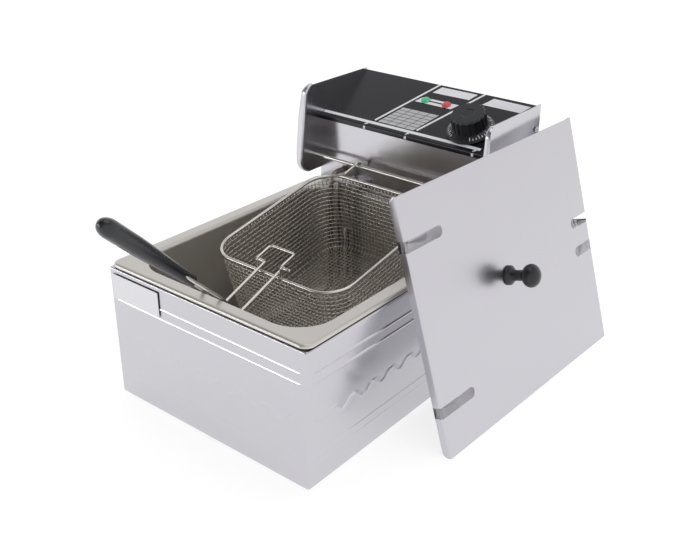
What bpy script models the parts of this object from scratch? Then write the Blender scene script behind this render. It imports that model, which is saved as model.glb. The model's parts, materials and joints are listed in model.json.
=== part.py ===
"""Counter-top electric deep fryer: body, lift-out tank, control head, basket with handle, and lid.

Units are metres and +Z is up. While the parts are being built, X = 0 is the middle of the width,
Y = 0 is the front of the body and Z = 0 is the counter. At the end everything is shifted so that
the origin is the middle of the footprint of the whole set.
"""

import bpy
import bmesh
import math
from mathutils import Matrix, Vector

# ---------------------------------------------------------------- driving sizes
GAP = 0.0003                    # clearance between pieces that touch
SHEET = 0.001                   # body, head and lid sheet

FOOT_HEIGHT = 0.005             # body's lower edge above the counter
FOOT_RADIUS = 0.009
FOOT_INSET = 0.028

BODY_WIDTH = 0.280
BODY_DEPTH = 0.345
BODY_HEIGHT = 0.156             # lower edge to shoulder
BODY_CORNER = 0.004
BODY_FOLD = 0.0015              # rounding of the shoulder's fold
BOTTOM_RETURN = 0.011           # inward fold that carries the bottom plate
SEAT_INSET = 0.0085             # step in the shoulder that carries the tank's flange
SEAT_RISE = 0.0035
SEAT_WIDTH = 0.004

TANK_SHEET = 0.0008
TANK_INSET = 0.0025             # tank flange inside the body's outline
TANK_RIM_SIDE = 0.017           # flange width at the sides
TANK_RIM_END = 0.016            # flange width at front and rear
TANK_SKIRT_GAP = 0.0015         # shadow gap between flange skirt and shoulder
TANK_DEPTH = 0.150
TANK_CORNER = 0.040
TANK_FLANGE_CORNER = 0.010
TANK_LIP_RADIUS = 0.004
TANK_FLOOR_RADIUS = 0.018
TANK_TAPER = 0.002

SHOULDER_Z = FOOT_HEIGHT + BODY_HEIGHT
SEAT_Z = SHOULDER_Z + SEAT_RISE
RIM_Z = SEAT_Z + GAP + TANK_SHEET

BOTTOM_SLOTS = 5
BOTTOM_SLOT_PITCH = 0.024
BOTTOM_SLOT_LENGTH = 0.090
BOTTOM_SLOT_WIDTH = 0.006
BADGE_WIDTH = 0.072
BADGE_HEIGHT = 0.029
BADGE_THICKNESS = 0.0006
BADGE_SIDE = 0.0065             # badge's left edge to the body's side
BADGE_TOP = 0.0055              # badge's upper edge below the shoulder
STRAP_WIDTH = 0.120             # rear bracket
STRAP_STEP = 0.0024             # pocket behind the rear bracket
STRAP_DROPS = (0.043, 0.035, 0.031, 0.005)      # its bends below the shoulder
HOOK_PLATE_WIDTH = 0.100
HOOK_PLATE_DROP = 0.027         # tongue's end below the shoulder

HEAD_FRONT_Y = BODY_DEPTH - 0.0105
HEAD_BACK_Y = BODY_DEPTH + 0.0825
HEAD_CLEARANCE = 0.0015         # head's underside above the tank flange
FACE_TOP_Z = RIM_Z + 0.0854     # fold between front lip and sloping panel
PANEL_BACK_Z = FACE_TOP_Z + 0.039
PANEL_LIP = 0.005
OVERLAY = 0.0005
CHEEK_X = BODY_WIDTH / 2 - 0.0115       # outer face of a side cheek
CHEEK_FLANGE = 0.008            # front edge folded outwards
CHEEK_FRONT_LOW_Y = HEAD_FRONT_Y - 0.039
CHEEK_FRONT_TOP_Y = HEAD_FRONT_Y - 0.0265
CHEEK_LOW_Z = RIM_Z + 0.0164
CHEEK_TOP_Z = PANEL_BACK_Z + 0.001
CHEEK_LOW_RADIUS = 0.016
CHEEK_TOP_RADIUS = 0.022
CHEEK_FOLD_END = 0.84           # share of the front edge's run that is folded
REAR_BOX_GAP = 0.0045           # rear box behind the body's rear wall
REAR_BOX_BOTTOM_Z = SHOULDER_Z - 0.056

BAR_Y = HEAD_FRONT_Y - 0.013
BAR_Z = RIM_Z + 0.0369
BAR_RADIUS = 0.0022

ELEMENT_RADIUS = 0.00325
ELEMENT_X = BODY_WIDTH / 2 - 0.0515
ELEMENT_INNER_X = 0.030
ELEMENT_LEG_Y = HEAD_FRONT_Y - 0.0265
ELEMENT_EXIT_Z = RIM_Z + 0.0224
ELEMENT_FLOOR_Z = RIM_Z - TANK_DEPTH + 0.0134
ELEMENT_FRONT_Y = 0.055
ELEMENT_INNER_RUN = 0.034       # inner run's end ahead of the legs
ELEMENT_BEND = 0.014
ELEMENT_HOLE = 0.0045
ELEMENT_TAIL = 0.024            # length inside the head
NUT_RADIUS = 0.0085
NUT_HEIGHT = 0.005

GUARD_WIDTH = 0.024
GUARD_Y = HEAD_FRONT_Y - 0.0185
GUARD_TOP_Z = RIM_Z + 0.0099
GUARD_LOW_Z = GUARD_TOP_Z - TANK_DEPTH + 0.0195
BULB_RADIUS = 0.0028
CAPILLARY_RADIUS = 0.0010
BULB_LENGTH = 0.075

KNOB_U = 0.073                  # place on the panel: X, and distance up the slope
KNOB_V = 0.0345
KNOB_SKIRT_RADIUS = 0.0285
KNOB_SKIRT = 0.0030
KNOB_GRIP_RADIUS = 0.0205
KNOB_HEIGHT = 0.0230
KNOB_LIFT = 0.0010
SHAFT_RADIUS = 0.003
LAMP_V = 0.0657
LAMP_X = (-0.0109, 0.0194)
LAMP_RADIUS = 0.0056
LAMP_NECK = 0.0042
LAMP_HEIGHT = 0.0032

THERMOSTAT_HALF = 0.017
THERMOSTAT_DEPTH = 0.022
TERMINALS_X = (0.020, 0.056)
TERMINALS_DEPTH = 0.020         # along Y
TERMINALS_HEIGHT = 0.018
TERMINALS_LEADS = (0.030, 0.046)
CUTOUT_RADIUS = 0.011
CUTOUT_DEPTH = 0.020
RESET_X = -0.060
RESET_Z = REAR_BOX_BOTTOM_Z + 0.045
GLAND_X = 0.075
GLAND_Z = REAR_BOX_BOTTOM_Z + 0.030
GLAND_NECK = 0.0070
LEAD_RADIUS = 0.0014
LEAD_BEND = 0.010
SWITCH_X = -0.090
SWITCH_Z = SHOULDER_Z - 0.043
SWITCH_SIZE = (0.020, 0.010, 0.012)
PLUNGER_RADIUS = 0.0015

BASKET_WIDTH = 0.184
BASKET_LENGTH = BODY_DEPTH - 0.1414
BASKET_DEPTH = 0.100
BASKET_TAPER = 0.008
BASKET_CORNER = 0.035
BASKET_FLOOR_RADIUS = 0.008
BASKET_WALL = 0.0012
BASKET_Y = BODY_DEPTH / 2 + 0.0255
BASKET_Z = RIM_Z + 0.0109
BASKET_TILT = math.radians(10.8)
RIM_WIRE = 0.0020
HOOK_X = 0.057
HOOK_WIRE = 0.0016

HANDLE_X = 0.0125
HANDLE_WIRE = 0.0018
HANDLE_PIN_X = 0.0235
HANDLE_PIN_Y = BASKET_Y - BASKET_LENGTH / 2 + 0.0113
HANDLE_PIN_Z = BASKET_Z - math.sin(BASKET_TILT) * BASKET_LENGTH / 2 + 0.008575
HANDLE_V_Y = 0.0386
HANDLE_V_Z = RIM_Z - 0.0261
HANDLE_REST_ANGLE = math.radians(48)
HANDLE_NECK_Y = -0.0060
GRIP_END_Y = -0.1040
GRIP_END_Z = RIM_Z + 0.1204
GRIP_BORE = 0.034               # depth of the wires' bore
GRIP_WIDTH = 0.0208
GRIP_THICKNESS = 0.0180
BRACKET_X = 0.0164
BRACKET_WIRE = 0.0015
BRACKET_POSTS = 0.0082          # height of the stirrup's upright ends
BRACKET_REACH = 0.0190          # how far its bow leans back
BRACKET_HEIGHT = 0.0125

LID_LENGTH = BODY_DEPTH - 0.008
LID_HEIGHT = BODY_WIDTH
LID_FLANGE = 0.010
LID_CORNER = 0.008
LID_LEAN = math.radians(17.3)
LID_YAW = math.radians(1.8)
LID_CLEARANCE = 0.0008
LID_MID_Y = BODY_DEPTH - 0.0414
SLOT_WIDTH = 0.012
LONG_SLOT = 0.059
LONG_SLOT_OFFSET = 0.089
SHORT_SLOT = 0.038
SHORT_SLOT_OFFSET = 0.0175
LID_KNOB_U = 0.157
LID_KNOB_V = 0.145
LID_KNOB_HEIGHT = 0.0385

# ---------------------------------------------------------------- worked-out sizes
TANK_WIDTH = BODY_WIDTH - 2 * TANK_INSET
TANK_LENGTH = BODY_DEPTH - 2 * TANK_INSET
BODY_MID_Y = BODY_DEPTH / 2
HEAD_LOW_Z = RIM_Z + HEAD_CLEARANCE
REAR_BOX_Y = BODY_DEPTH + REAR_BOX_GAP
HEAD_INNER_X = CHEEK_X - SHEET - GAP
PANEL_SLOPE = math.atan2(PANEL_BACK_Z - FACE_TOP_Z, HEAD_BACK_Y - HEAD_FRONT_Y)
PANEL_LENGTH = math.hypot(PANEL_BACK_Z - FACE_TOP_Z, HEAD_BACK_Y - HEAD_FRONT_Y)

LID_FOOT_X = (CHEEK_X + CHEEK_FLANGE + LID_CLEARANCE + LID_HEIGHT * math.sin(LID_LEAN)
              + SHEET * math.cos(LID_LEAN))
LID_FOOT_Z = (LID_CORNER * (1 - math.cos(LID_LEAN))
              + (LID_FLANGE - LID_CORNER) * math.sin(LID_LEAN))

PARTS = "deep_fryer"
CUTTERS = "deep_fryer_cutters"

FINISHES = {
    "steel": ((0.62, 0.62, 0.64), 0.25, 1.0),
    "tank_steel": ((0.45, 0.43, 0.41), 0.35, 1.0),
    "wire": ((0.70, 0.69, 0.67), 0.22, 1.0),
    "element": ((0.30, 0.28, 0.27), 0.40, 1.0),
    "black_film": ((0.03, 0.03, 0.04), 0.20, 0.0),
    "black_plastic": ((0.02, 0.02, 0.025), 0.35, 0.0),
    "rubber": ((0.03, 0.03, 0.03), 0.70, 0.0),
    "badge": ((0.55, 0.55, 0.57), 0.30, 1.0),
    "green_lens": ((0.02, 0.35, 0.12), 0.15, 0.0),
    "red_lens": ((0.45, 0.02, 0.03), 0.15, 0.0),
    "brass": ((0.60, 0.46, 0.20), 0.35, 1.0),
    "white_plastic": ((0.75, 0.74, 0.70), 0.50, 0.0),
}


# ---------------------------------------------------------------- scene helpers
def clear_scene():
    for item in list(bpy.data.objects):
        bpy.data.objects.remove(item, do_unlink=True)


def collection(name):
    found = bpy.data.collections.get(name)
    if found is None:
        found = bpy.data.collections.new(name)
        bpy.context.scene.collection.children.link(found)
    return found


def finish_material(name):
    material = bpy.data.materials.get(name)
    if material is None:
        colour, roughness, metallic = FINISHES[name]
        material = bpy.data.materials.new(name)
        material.use_nodes = True
        shader = material.node_tree.nodes["Principled BSDF"]
        shader.inputs["Base Color"].default_value = (*colour, 1.0)
        shader.inputs["Roughness"].default_value = roughness
        shader.inputs["Metallic"].default_value = metallic
    return material


def pivot(name, parent, place, turn=(0.0, 0.0, 0.0)):
    """An empty on a joint's axis, or a frame that sub-parts are placed in."""
    empty = bpy.data.objects.new(name, None)
    empty.empty_display_size = 0.02
    collection(PARTS).objects.link(empty)
    empty.location = place
    empty.rotation_euler = turn
    empty.parent = parent
    return empty


def add_object(name, data, finish, parent=None, place=(0, 0, 0), turn=(0, 0, 0)):
    item = bpy.data.objects.new(name, data)
    collection(PARTS).objects.link(item)
    data.materials.append(finish_material(finish))
    item.location = place
    item.rotation_euler = turn
    item.parent = parent
    return item


def local_to(parent, point):
    """A point given in the building frame, in the frame of a parent empty."""
    bpy.context.view_layer.update()
    return parent.matrix_world.inverted() @ Vector(point)


# ---------------------------------------------------------------- paths and outlines
def fillet(points, radius, steps=4, closed=False):
    """Round the corners of a path with arcs; radius is one number or one for each point."""
    points = [Vector(p) for p in points]
    count = len(points)
    radii = radius if isinstance(radius, (list, tuple)) else [radius] * count
    path = []
    for i, corner in enumerate(points):
        at_end = not closed and i in (0, count - 1)
        if at_end or radii[i] <= 0:
            path.append(corner)
            continue
        before = (points[i - 1] - corner).normalized()
        after = (points[(i + 1) % count] - corner).normalized()
        half = before.angle(after) / 2
        reach = radii[i] / math.tan(half)
        centre = corner + (before + after).normalized() * (radii[i] / math.sin(half))
        start = corner + before * reach - centre
        end = corner + after * reach - centre
        sweep = start.angle(end)
        for k in range(steps + 1):
            t = k / steps
            arm = (start * math.sin((1 - t) * sweep) + end * math.sin(t * sweep)) / math.sin(sweep)
            path.append(centre + arm)
    return path


def rounded_rectangle(width, length, radius, steps=5):
    """Points around a rectangle centred on the origin, anticlockwise, steps + 1 to a corner."""
    half_w, half_l = width / 2 - radius, length / 2 - radius
    points = []
    for quarter, (sx, sy) in enumerate(((1, 1), (-1, 1), (-1, -1), (1, -1))):
        for k in range(steps + 1):
            angle = (quarter + k / steps) * math.pi / 2
            points.append((sx * half_w + radius * math.cos(angle),
                           sy * half_l + radius * math.sin(angle)))
    return points


def circle(radius, centre=(0.0, 0.0), count=16):
    return [(centre[0] + radius * math.cos(2 * math.pi * k / count),
             centre[1] + radius * math.sin(2 * math.pi * k / count)) for k in range(count)]


# ---------------------------------------------------------------- shape makers
def mesh_from_curve(curve):
    """The mesh of a curve, with its caps welded to its sides."""
    holder = bpy.data.objects.new("holder", curve)
    bpy.context.scene.collection.objects.link(holder)
    bpy.context.view_layer.update()
    evaluated = holder.evaluated_get(bpy.context.evaluated_depsgraph_get())
    mesh = bpy.data.meshes.new_from_object(evaluated)
    bpy.data.objects.remove(holder)
    work = bmesh.new()
    work.from_mesh(mesh)
    bmesh.ops.remove_doubles(work, verts=work.verts, dist=0.000005)
    bmesh.ops.recalc_face_normals(work, faces=work.faces)
    work.to_mesh(mesh)
    work.free()
    return mesh


def outward(mesh):
    """Turn the faces of a closed mesh to point out."""
    work = bmesh.new()
    work.from_mesh(mesh)
    bmesh.ops.recalc_face_normals(work, faces=work.faces)
    work.to_mesh(mesh)
    work.free()
    return mesh


def poly_spline(curve, points, closed, radii=None):
    spline = curve.splines.new("POLY")
    spline.points.add(len(points) - 1)
    for k, point in enumerate(points):
        flat = tuple(point) + (0.0,) * (3 - len(point))
        spline.points[k].co = (*flat, 1.0)
        spline.points[k].radius = radii[k] if radii else 1.0
    spline.use_cyclic_u = closed


def flat_plate(outline, thickness, holes=()):
    """A flat sheet in XY, from Z = 0 to its thickness, with holes given as closed outlines."""
    curve = bpy.data.curves.new("outline", "CURVE")
    curve.dimensions = "2D"
    curve.fill_mode = "BOTH"
    curve.extrude = thickness / 2
    for loop in (outline, *holes):
        poly_spline(curve, [tuple(p)[:2] for p in loop], True)
    mesh = mesh_from_curve(curve)
    mesh.transform(Matrix.Translation((0, 0, thickness / 2)))
    return mesh


def wire(name, points, radius, finish, parent, closed=False, radii=None):
    """A round wire or tube along a path; the points are in the parent's frame."""
    curve = bpy.data.curves.new(name, "CURVE")
    curve.dimensions = "3D"
    curve.bevel_depth = radius
    curve.bevel_resolution = 2
    curve.use_fill_caps = not closed
    curve.twist_mode = "MINIMUM"
    poly_spline(curve, points, closed, radii)
    mesh = mesh_from_curve(curve)
    mesh.shade_smooth()
    return add_object(name, mesh, finish, parent)


def block(lowest, highest):
    """A rectangular solid between two corners."""
    lowest, highest = Vector(lowest), Vector(highest)
    work = bmesh.new()
    bmesh.ops.create_cube(work, size=1.0)
    size = highest - lowest
    bmesh.ops.scale(work, vec=size, verts=work.verts)
    bmesh.ops.translate(work, vec=(lowest + highest) / 2, verts=work.verts)
    mesh = bpy.data.meshes.new("block")
    work.to_mesh(mesh)
    work.free()
    return mesh


def cylinder(radius, low, high, sides=20, centre=(0.0, 0.0)):
    """An upright cylinder between two heights."""
    work = bmesh.new()
    bmesh.ops.create_cone(work, cap_ends=True, segments=sides, radius1=radius, radius2=radius,
                          depth=high - low)
    bmesh.ops.translate(work, vec=(centre[0], centre[1], (low + high) / 2), verts=work.verts)
    mesh = bpy.data.meshes.new("cylinder")
    work.to_mesh(mesh)
    work.free()
    return mesh


def turned(name, profile, finish, parent, place=(0, 0, 0), turn=(0, 0, 0), steps=24):
    """A turned solid from (radius, height) points that run down its outer side.

    The points go from the axis to the axis, or start and end at one point off it for a ring.
    """
    mesh = bpy.data.meshes.new(name)
    ring = profile[0] == profile[-1]
    points = [(radius, 0.0, height) for radius, height in profile[:len(profile) - ring]]
    edges = [(k, k + 1) for k in range(len(points) - 1)]
    if ring:
        edges.append((len(points) - 1, 0))
    mesh.from_pydata(points, edges, [])
    item = add_object(name, mesh, finish, parent, place, turn)
    screw = item.modifiers.new("turn", "SCREW")
    screw.axis = "Z"
    screw.steps = steps
    screw.render_steps = steps
    screw.use_merge_vertices = True
    screw.merge_threshold = 0.00001
    screw.use_smooth_shade = True
    return item


def solidify(item, thickness, offset=-1.0):
    wall = item.modifiers.new("sheet", "SOLIDIFY")
    wall.thickness = thickness
    wall.offset = offset
    wall.use_even_offset = True
    return wall


def ring_shell(name, rings, finish, parent, thickness, offset, close_end=False, place=(0, 0, 0),
               turn=(0, 0, 0)):
    """An open sheet lofted through rings of equal point counts, given a thickness."""
    count = len(rings[0])
    points = [p for ring in rings for p in ring]
    faces = []
    for r in range(len(rings) - 1):
        for k in range(count):
            after = (k + 1) % count
            faces.append((r * count + k, r * count + after, (r + 1) * count + after,
                          (r + 1) * count + k))
    if close_end:
        last = (len(rings) - 1) * count
        faces.append(tuple(last + k for k in range(count)))
    mesh = bpy.data.meshes.new(name)
    mesh.from_pydata(points, [], faces)
    item = add_object(name, mesh, finish, parent, place, turn)
    solidify(item, thickness, offset)
    return item


def bent_sheet(name, path, width, finish, parent, thickness, offset):
    """A sheet bent along a path of (Y, Z) points and running straight across X."""
    points = []
    for y, z in path:
        points += [(-width / 2, y, z), (width / 2, y, z)]
    faces = [(2 * k, 2 * k + 1, 2 * k + 3, 2 * k + 2) for k in range(len(path) - 1)]
    mesh = bpy.data.meshes.new(name)
    mesh.from_pydata(points, [], faces)
    item = add_object(name, mesh, finish, parent)
    solidify(item, thickness, offset)
    return item


def cutter(name, mesh, parent=None, place=(0, 0, 0), turn=(0, 0, 0)):
    item = bpy.data.objects.new(name, mesh)
    collection(CUTTERS).objects.link(item)
    item.location = place
    item.rotation_euler = turn
    item.parent = parent
    item.hide_render = True
    item.display_type = "WIRE"
    return item


def cut(item, tool, operation="DIFFERENCE"):
    boolean = item.modifiers.new(tool.name, "BOOLEAN")
    boolean.operation = operation
    boolean.solver = "EXACT"
    boolean.object = tool


# ---------------------------------------------------------------- body
def body_ring(inset, z, corner):
    outline = rounded_rectangle(BODY_WIDTH - 2 * inset, BODY_DEPTH - 2 * inset, corner, 3)
    return [(x, y + BODY_MID_Y, z) for x, y in outline]


def make_body_shell(root):
    """Four walls in one wrap, folded in below for the bottom plate and above for the tank seat."""
    inner_corner = 0.003
    rings = [
        body_ring(BOTTOM_RETURN, FOOT_HEIGHT, inner_corner),
        body_ring(0.0, FOOT_HEIGHT, BODY_CORNER),
        body_ring(0.0, SHOULDER_Z - BODY_FOLD, BODY_CORNER),
        body_ring(BODY_FOLD, SHOULDER_Z, BODY_CORNER),
        body_ring(SEAT_INSET, SHOULDER_Z, inner_corner),
        body_ring(SEAT_INSET, SEAT_Z, inner_corner),
        body_ring(SEAT_INSET + SEAT_WIDTH, SEAT_Z, inner_corner),
    ]
    ring_shell("body_shell", rings, "steel", root, SHEET, -1.0)


def make_bottom_plate(root):
    inset = SHEET + GAP * 2
    outline = rounded_rectangle(BODY_WIDTH - 2 * inset, BODY_DEPTH - 2 * inset, 0.003, 3)
    slots = []
    for row in range(BOTTOM_SLOTS):
        y = (row - (BOTTOM_SLOTS - 1) / 2) * BOTTOM_SLOT_PITCH
        slot = rounded_rectangle(BOTTOM_SLOT_LENGTH, BOTTOM_SLOT_WIDTH,
                                 BOTTOM_SLOT_WIDTH / 2 - 0.0002, 2)
        slots.append([(x, y + dy) for x, dy in slot])
    mesh = flat_plate(outline, TANK_SHEET, slots)
    add_object("bottom_plate", mesh, "steel", root,
               (0, BODY_MID_Y, FOOT_HEIGHT + SHEET + GAP))


def make_feet(root):
    top = FOOT_HEIGHT + SHEET
    profile = [(0, top), (FOOT_RADIUS, top), (FOOT_RADIUS, 0.0015), (FOOT_RADIUS - 0.0015, 0), (0, 0)]
    places = {
        "foot_front_left": (-1, 0), "foot_front_right": (1, 0),
        "foot_rear_left": (-1, 1), "foot_rear_right": (1, 1),
    }
    for name, (side, rear) in places.items():
        x = side * (BODY_WIDTH / 2 - FOOT_INSET)
        y = BODY_DEPTH - FOOT_INSET if rear else FOOT_INSET
        turned(name, profile, "rubber", root, (x, y, 0), steps=16)


def make_badge(root):
    """A plain plate on the front wall's upper left corner."""
    outline = rounded_rectangle(BADGE_WIDTH, BADGE_HEIGHT, 0.001, 2)
    mesh = flat_plate(outline, BADGE_THICKNESS)
    x = -BODY_WIDTH / 2 + BADGE_SIDE + BADGE_WIDTH / 2
    z = SHOULDER_Z - BADGE_TOP - BADGE_HEIGHT / 2
    add_object("badge", mesh, "badge", root, (x, -GAP, z), (math.pi / 2, 0, 0))


def make_rear_bracket(root):
    """A stepped strap on the rear wall, whose pocket takes the head's hook plate."""
    y = BODY_DEPTH + GAP
    steps = (0, 0, STRAP_STEP, STRAP_STEP)
    path = [(y + step, SHOULDER_Z - drop) for step, drop in zip(steps, STRAP_DROPS)]
    bent_sheet("rear_bracket", path, STRAP_WIDTH, "steel", root, SHEET, -1.0)


def make_body(root):
    make_body_shell(root)
    make_bottom_plate(root)
    make_feet(root)
    make_badge(root)
    make_rear_bracket(root)


# ---------------------------------------------------------------- tank
def tank_ring(width, length, corner, z):
    return [(x, y + BODY_MID_Y, z) for x, y in rounded_rectangle(width, length, corner, 6)]


def make_tank(parent):
    """One drawn pan: skirt, flange, rounded lip, tapering walls, rounded floor."""
    open_w = TANK_WIDTH - 2 * TANK_RIM_SIDE
    open_l = TANK_LENGTH - 2 * TANK_RIM_END
    skirt_z = SHOULDER_Z + TANK_SKIRT_GAP
    fold = 0.0012
    rings = [
        tank_ring(TANK_WIDTH, TANK_LENGTH, TANK_FLANGE_CORNER, skirt_z),
        tank_ring(TANK_WIDTH, TANK_LENGTH, TANK_FLANGE_CORNER, RIM_Z - fold),
        tank_ring(TANK_WIDTH - 2 * fold, TANK_LENGTH - 2 * fold, TANK_FLANGE_CORNER, RIM_Z),
    ]
    for k in range(4):
        angle = k / 3 * math.pi / 2
        inset = TANK_LIP_RADIUS * (1 - math.sin(angle))
        drop = TANK_LIP_RADIUS * (1 - math.cos(angle))
        grow = 2 * inset
        rings.append(tank_ring(open_w + grow, open_l + grow, TANK_CORNER + inset, RIM_Z - drop))
    floor_z = RIM_Z - TANK_DEPTH
    floor_w, floor_l = open_w - 2 * TANK_TAPER, open_l - 2 * TANK_TAPER
    for k in range(5):
        angle = k / 4 * math.pi / 2
        shrink = TANK_FLOOR_RADIUS * (1 - math.cos(angle))
        rise = TANK_FLOOR_RADIUS * (1 - math.sin(angle))
        rings.append(tank_ring(floor_w - 2 * shrink, floor_l - 2 * shrink, TANK_CORNER - shrink,
                               floor_z + rise))
    ring_shell("tank", rings, "tank_steel", parent, TANK_SHEET, 1.0, close_end=True)


# ---------------------------------------------------------------- head sheets
def panel_point(u, v, height=0.0):
    """A point on the sloping panel: X, distance up the slope, and height above its face."""
    c, s = math.cos(PANEL_SLOPE), math.sin(PANEL_SLOPE)
    return Vector((u, HEAD_FRONT_Y + v * c - height * s, FACE_TOP_Z + v * s + height * c))


def make_front_plate(head):
    """The head's front face, with holes for the element's legs and the sensing tube."""
    low, high = HEAD_LOW_Z, FACE_TOP_Z - PANEL_LIP - GAP
    holes = [circle(ELEMENT_HOLE, (side * ELEMENT_X, ELEMENT_EXIT_Z)) for side in (-1, 1)]
    holes.append(circle(0.002, (capillary_x(), capillary_z()), 10))
    outline = [(-HEAD_INNER_X, low), (HEAD_INNER_X, low), (HEAD_INNER_X, high),
               (-HEAD_INNER_X, high)]
    mesh = flat_plate(outline, SHEET, holes)
    add_object("head_front_plate", mesh, "steel", head, (0, HEAD_FRONT_Y + SHEET, 0),
               (math.pi / 2, 0, 0))


def make_head_base(head):
    """Underside of the head: a step over the body's rear edge, then down and back."""
    start = HEAD_FRONT_Y + SHEET + GAP
    end = HEAD_BACK_Y - SHEET - GAP
    path = [(start, HEAD_LOW_Z), (REAR_BOX_Y, HEAD_LOW_Z), (REAR_BOX_Y, REAR_BOX_BOTTOM_Z),
            (end, REAR_BOX_BOTTOM_Z)]
    bent_sheet("head_base", path, 2 * HEAD_INNER_X, "steel", head, SHEET, 1.0)


def make_hook_plate(head):
    """The tongue that drops into the body's rear bracket."""
    y = BODY_DEPTH + GAP + SHEET + 0.0002
    low, high = SHOULDER_Z - HOOK_PLATE_DROP, HEAD_LOW_Z - GAP
    half = HOOK_PLATE_WIDTH / 2
    outline = [(-half, low), (half, low), (half, high), (-half, high)]
    mesh = flat_plate(outline, SHEET)
    add_object("hook_plate", mesh, "steel", head, (0, y + SHEET, 0), (math.pi / 2, 0, 0))


def panel_path(offset):
    """Front lip and slope of the panel, as (Y, Z), set out from the panel's face by an offset."""
    c, s = math.cos(PANEL_SLOPE), math.sin(PANEL_SLOPE)
    back = PANEL_LENGTH - (SHEET + GAP + SHEET * s) / c
    lip_y = HEAD_FRONT_Y - offset
    fold = (lip_y, FACE_TOP_Z + offset * (1 - s) / c)
    rear = (HEAD_FRONT_Y + back * c - offset * s, FACE_TOP_Z + back * s + offset * c)
    return [(lip_y, FACE_TOP_Z - PANEL_LIP), fold, rear]


def hole_through_panel(name, head, u, v, radius):
    place = panel_point(u, v)
    return cutter(name, cylinder(radius, -0.01, 0.01), head, place, (PANEL_SLOPE, 0, 0))


def make_panel(head):
    """Sloping sheet with its front lip, and the black film laid on it."""
    panel = bent_sheet("control_panel", panel_path(0.0), 2 * HEAD_INNER_X, "steel", head, SHEET, -1.0)
    film = bent_sheet("panel_film", panel_path(GAP), 2 * HEAD_INNER_X, "black_film", head, OVERLAY,
                      1.0)
    spots = [("knob_hole", KNOB_U, KNOB_V, SHAFT_RADIUS + 0.0008)]
    spots += [(f"lamp_hole_{k}", x, LAMP_V, LAMP_NECK + GAP) for k, x in enumerate(LAMP_X)]
    for name, u, v, radius in spots:
        tool = hole_through_panel(name, head, u, v, radius)
        cut(panel, tool)
        cut(film, tool)


def cheek_outline():
    corners = [
        (CHEEK_FRONT_LOW_Y, CHEEK_LOW_Z), (HEAD_FRONT_Y + GAP, CHEEK_LOW_Z),
        (HEAD_FRONT_Y + GAP, HEAD_LOW_Z), (REAR_BOX_Y, HEAD_LOW_Z),
        (REAR_BOX_Y, REAR_BOX_BOTTOM_Z), (HEAD_BACK_Y, REAR_BOX_BOTTOM_Z),
        (HEAD_BACK_Y, CHEEK_TOP_Z), (CHEEK_FRONT_TOP_Y, CHEEK_TOP_Z),
    ]
    radii = [CHEEK_LOW_RADIUS, 0, 0, 0, 0, 0.003, 0.004, CHEEK_TOP_RADIUS]
    return fillet([(y, z, 0) for y, z in corners], radii, 5, closed=True)


def cheek_edge_path():
    """The front edge, from under the lower corner round to the top, as (Y, Z) points."""
    corners = [(HEAD_FRONT_Y, CHEEK_LOW_Z), (CHEEK_FRONT_LOW_Y, CHEEK_LOW_Z),
               (CHEEK_FRONT_TOP_Y, CHEEK_TOP_Z), (HEAD_BACK_Y, CHEEK_TOP_Z)]
    radii = [0, CHEEK_LOW_RADIUS, CHEEK_TOP_RADIUS, 0]
    return fillet([(y, z, 0) for y, z in corners], radii, 5)[1:-1]


def cheek_flange_mesh(side):
    """The strip folded outwards along the front edge, tapering away round both corners."""
    path = cheek_edge_path()
    count = len(path)
    inner_x = CHEEK_X - SHEET * 0.5
    points, faces = [], []
    for k, point in enumerate(path):
        ahead = path[min(k + 1, count - 1)] - path[max(k - 1, 0)]
        inward = Vector((ahead.y, -ahead.x, 0)).normalized() * SHEET
        share = min(1.0, k / (count - 1) / CHEEK_FOLD_END)
        swell = min(1.0, max(0.0, math.sin(math.pi * share)) ** 0.5 * 1.05)
        reach = CHEEK_FLANGE * swell + 0.0004
        outer_x = CHEEK_X + reach - 0.0004
        for x in (inner_x, outer_x):
            points.append((side * x, point.x, point.y))
            points.append((side * x, point.x + inward.x, point.y + inward.y))
    for k in range(count - 1):
        a, b = 4 * k, 4 * (k + 1)
        for p, q in ((0, 2), (2, 3), (3, 1), (1, 0)):
            faces.append((a + p, a + q, b + q, b + p))
    faces.append((0, 1, 3, 2))
    last = 4 * (count - 1)
    faces.append((last, last + 2, last + 3, last + 1))
    mesh = bpy.data.meshes.new("cheek_flange")
    mesh.from_pydata(points, [], faces)
    return outward(mesh)


def make_cheeks(head):
    """Two side plates whose rounded front edges are folded outwards."""
    stand_up = Matrix(((0, 0, 1, 0), (1, 0, 0, 0), (0, 1, 0, 0), (0, 0, 0, 1)))
    for name, side in (("cheek_left", -1), ("cheek_right", 1)):
        mesh = flat_plate(cheek_outline(), SHEET)
        mesh.transform(stand_up)
        inner = CHEEK_X - SHEET if side > 0 else -CHEEK_X
        mesh.transform(Matrix.Translation((inner, 0, 0)))
        cheek = add_object(name, mesh, "steel", head)
        cut(cheek, cutter(name + "_flange", cheek_flange_mesh(side), head), "UNION")


def make_back_cover(head):
    """Rear sheet with holes for the cable gland and the reset button."""
    low, high = REAR_BOX_BOTTOM_Z, PANEL_BACK_Z - 0.001
    half = HEAD_INNER_X
    holes = [circle(GLAND_NECK + 0.0005, (-GLAND_X, GLAND_Z)), circle(0.0045, (-RESET_X, RESET_Z))]
    outline = [(-half, low), (half, low), (half, high), (-half, high)]
    mesh = flat_plate(outline, SHEET, holes)
    add_object("back_cover", mesh, "steel", head, (0, HEAD_BACK_Y - SHEET, 0),
               (math.pi / 2, 0, math.pi))


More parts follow.
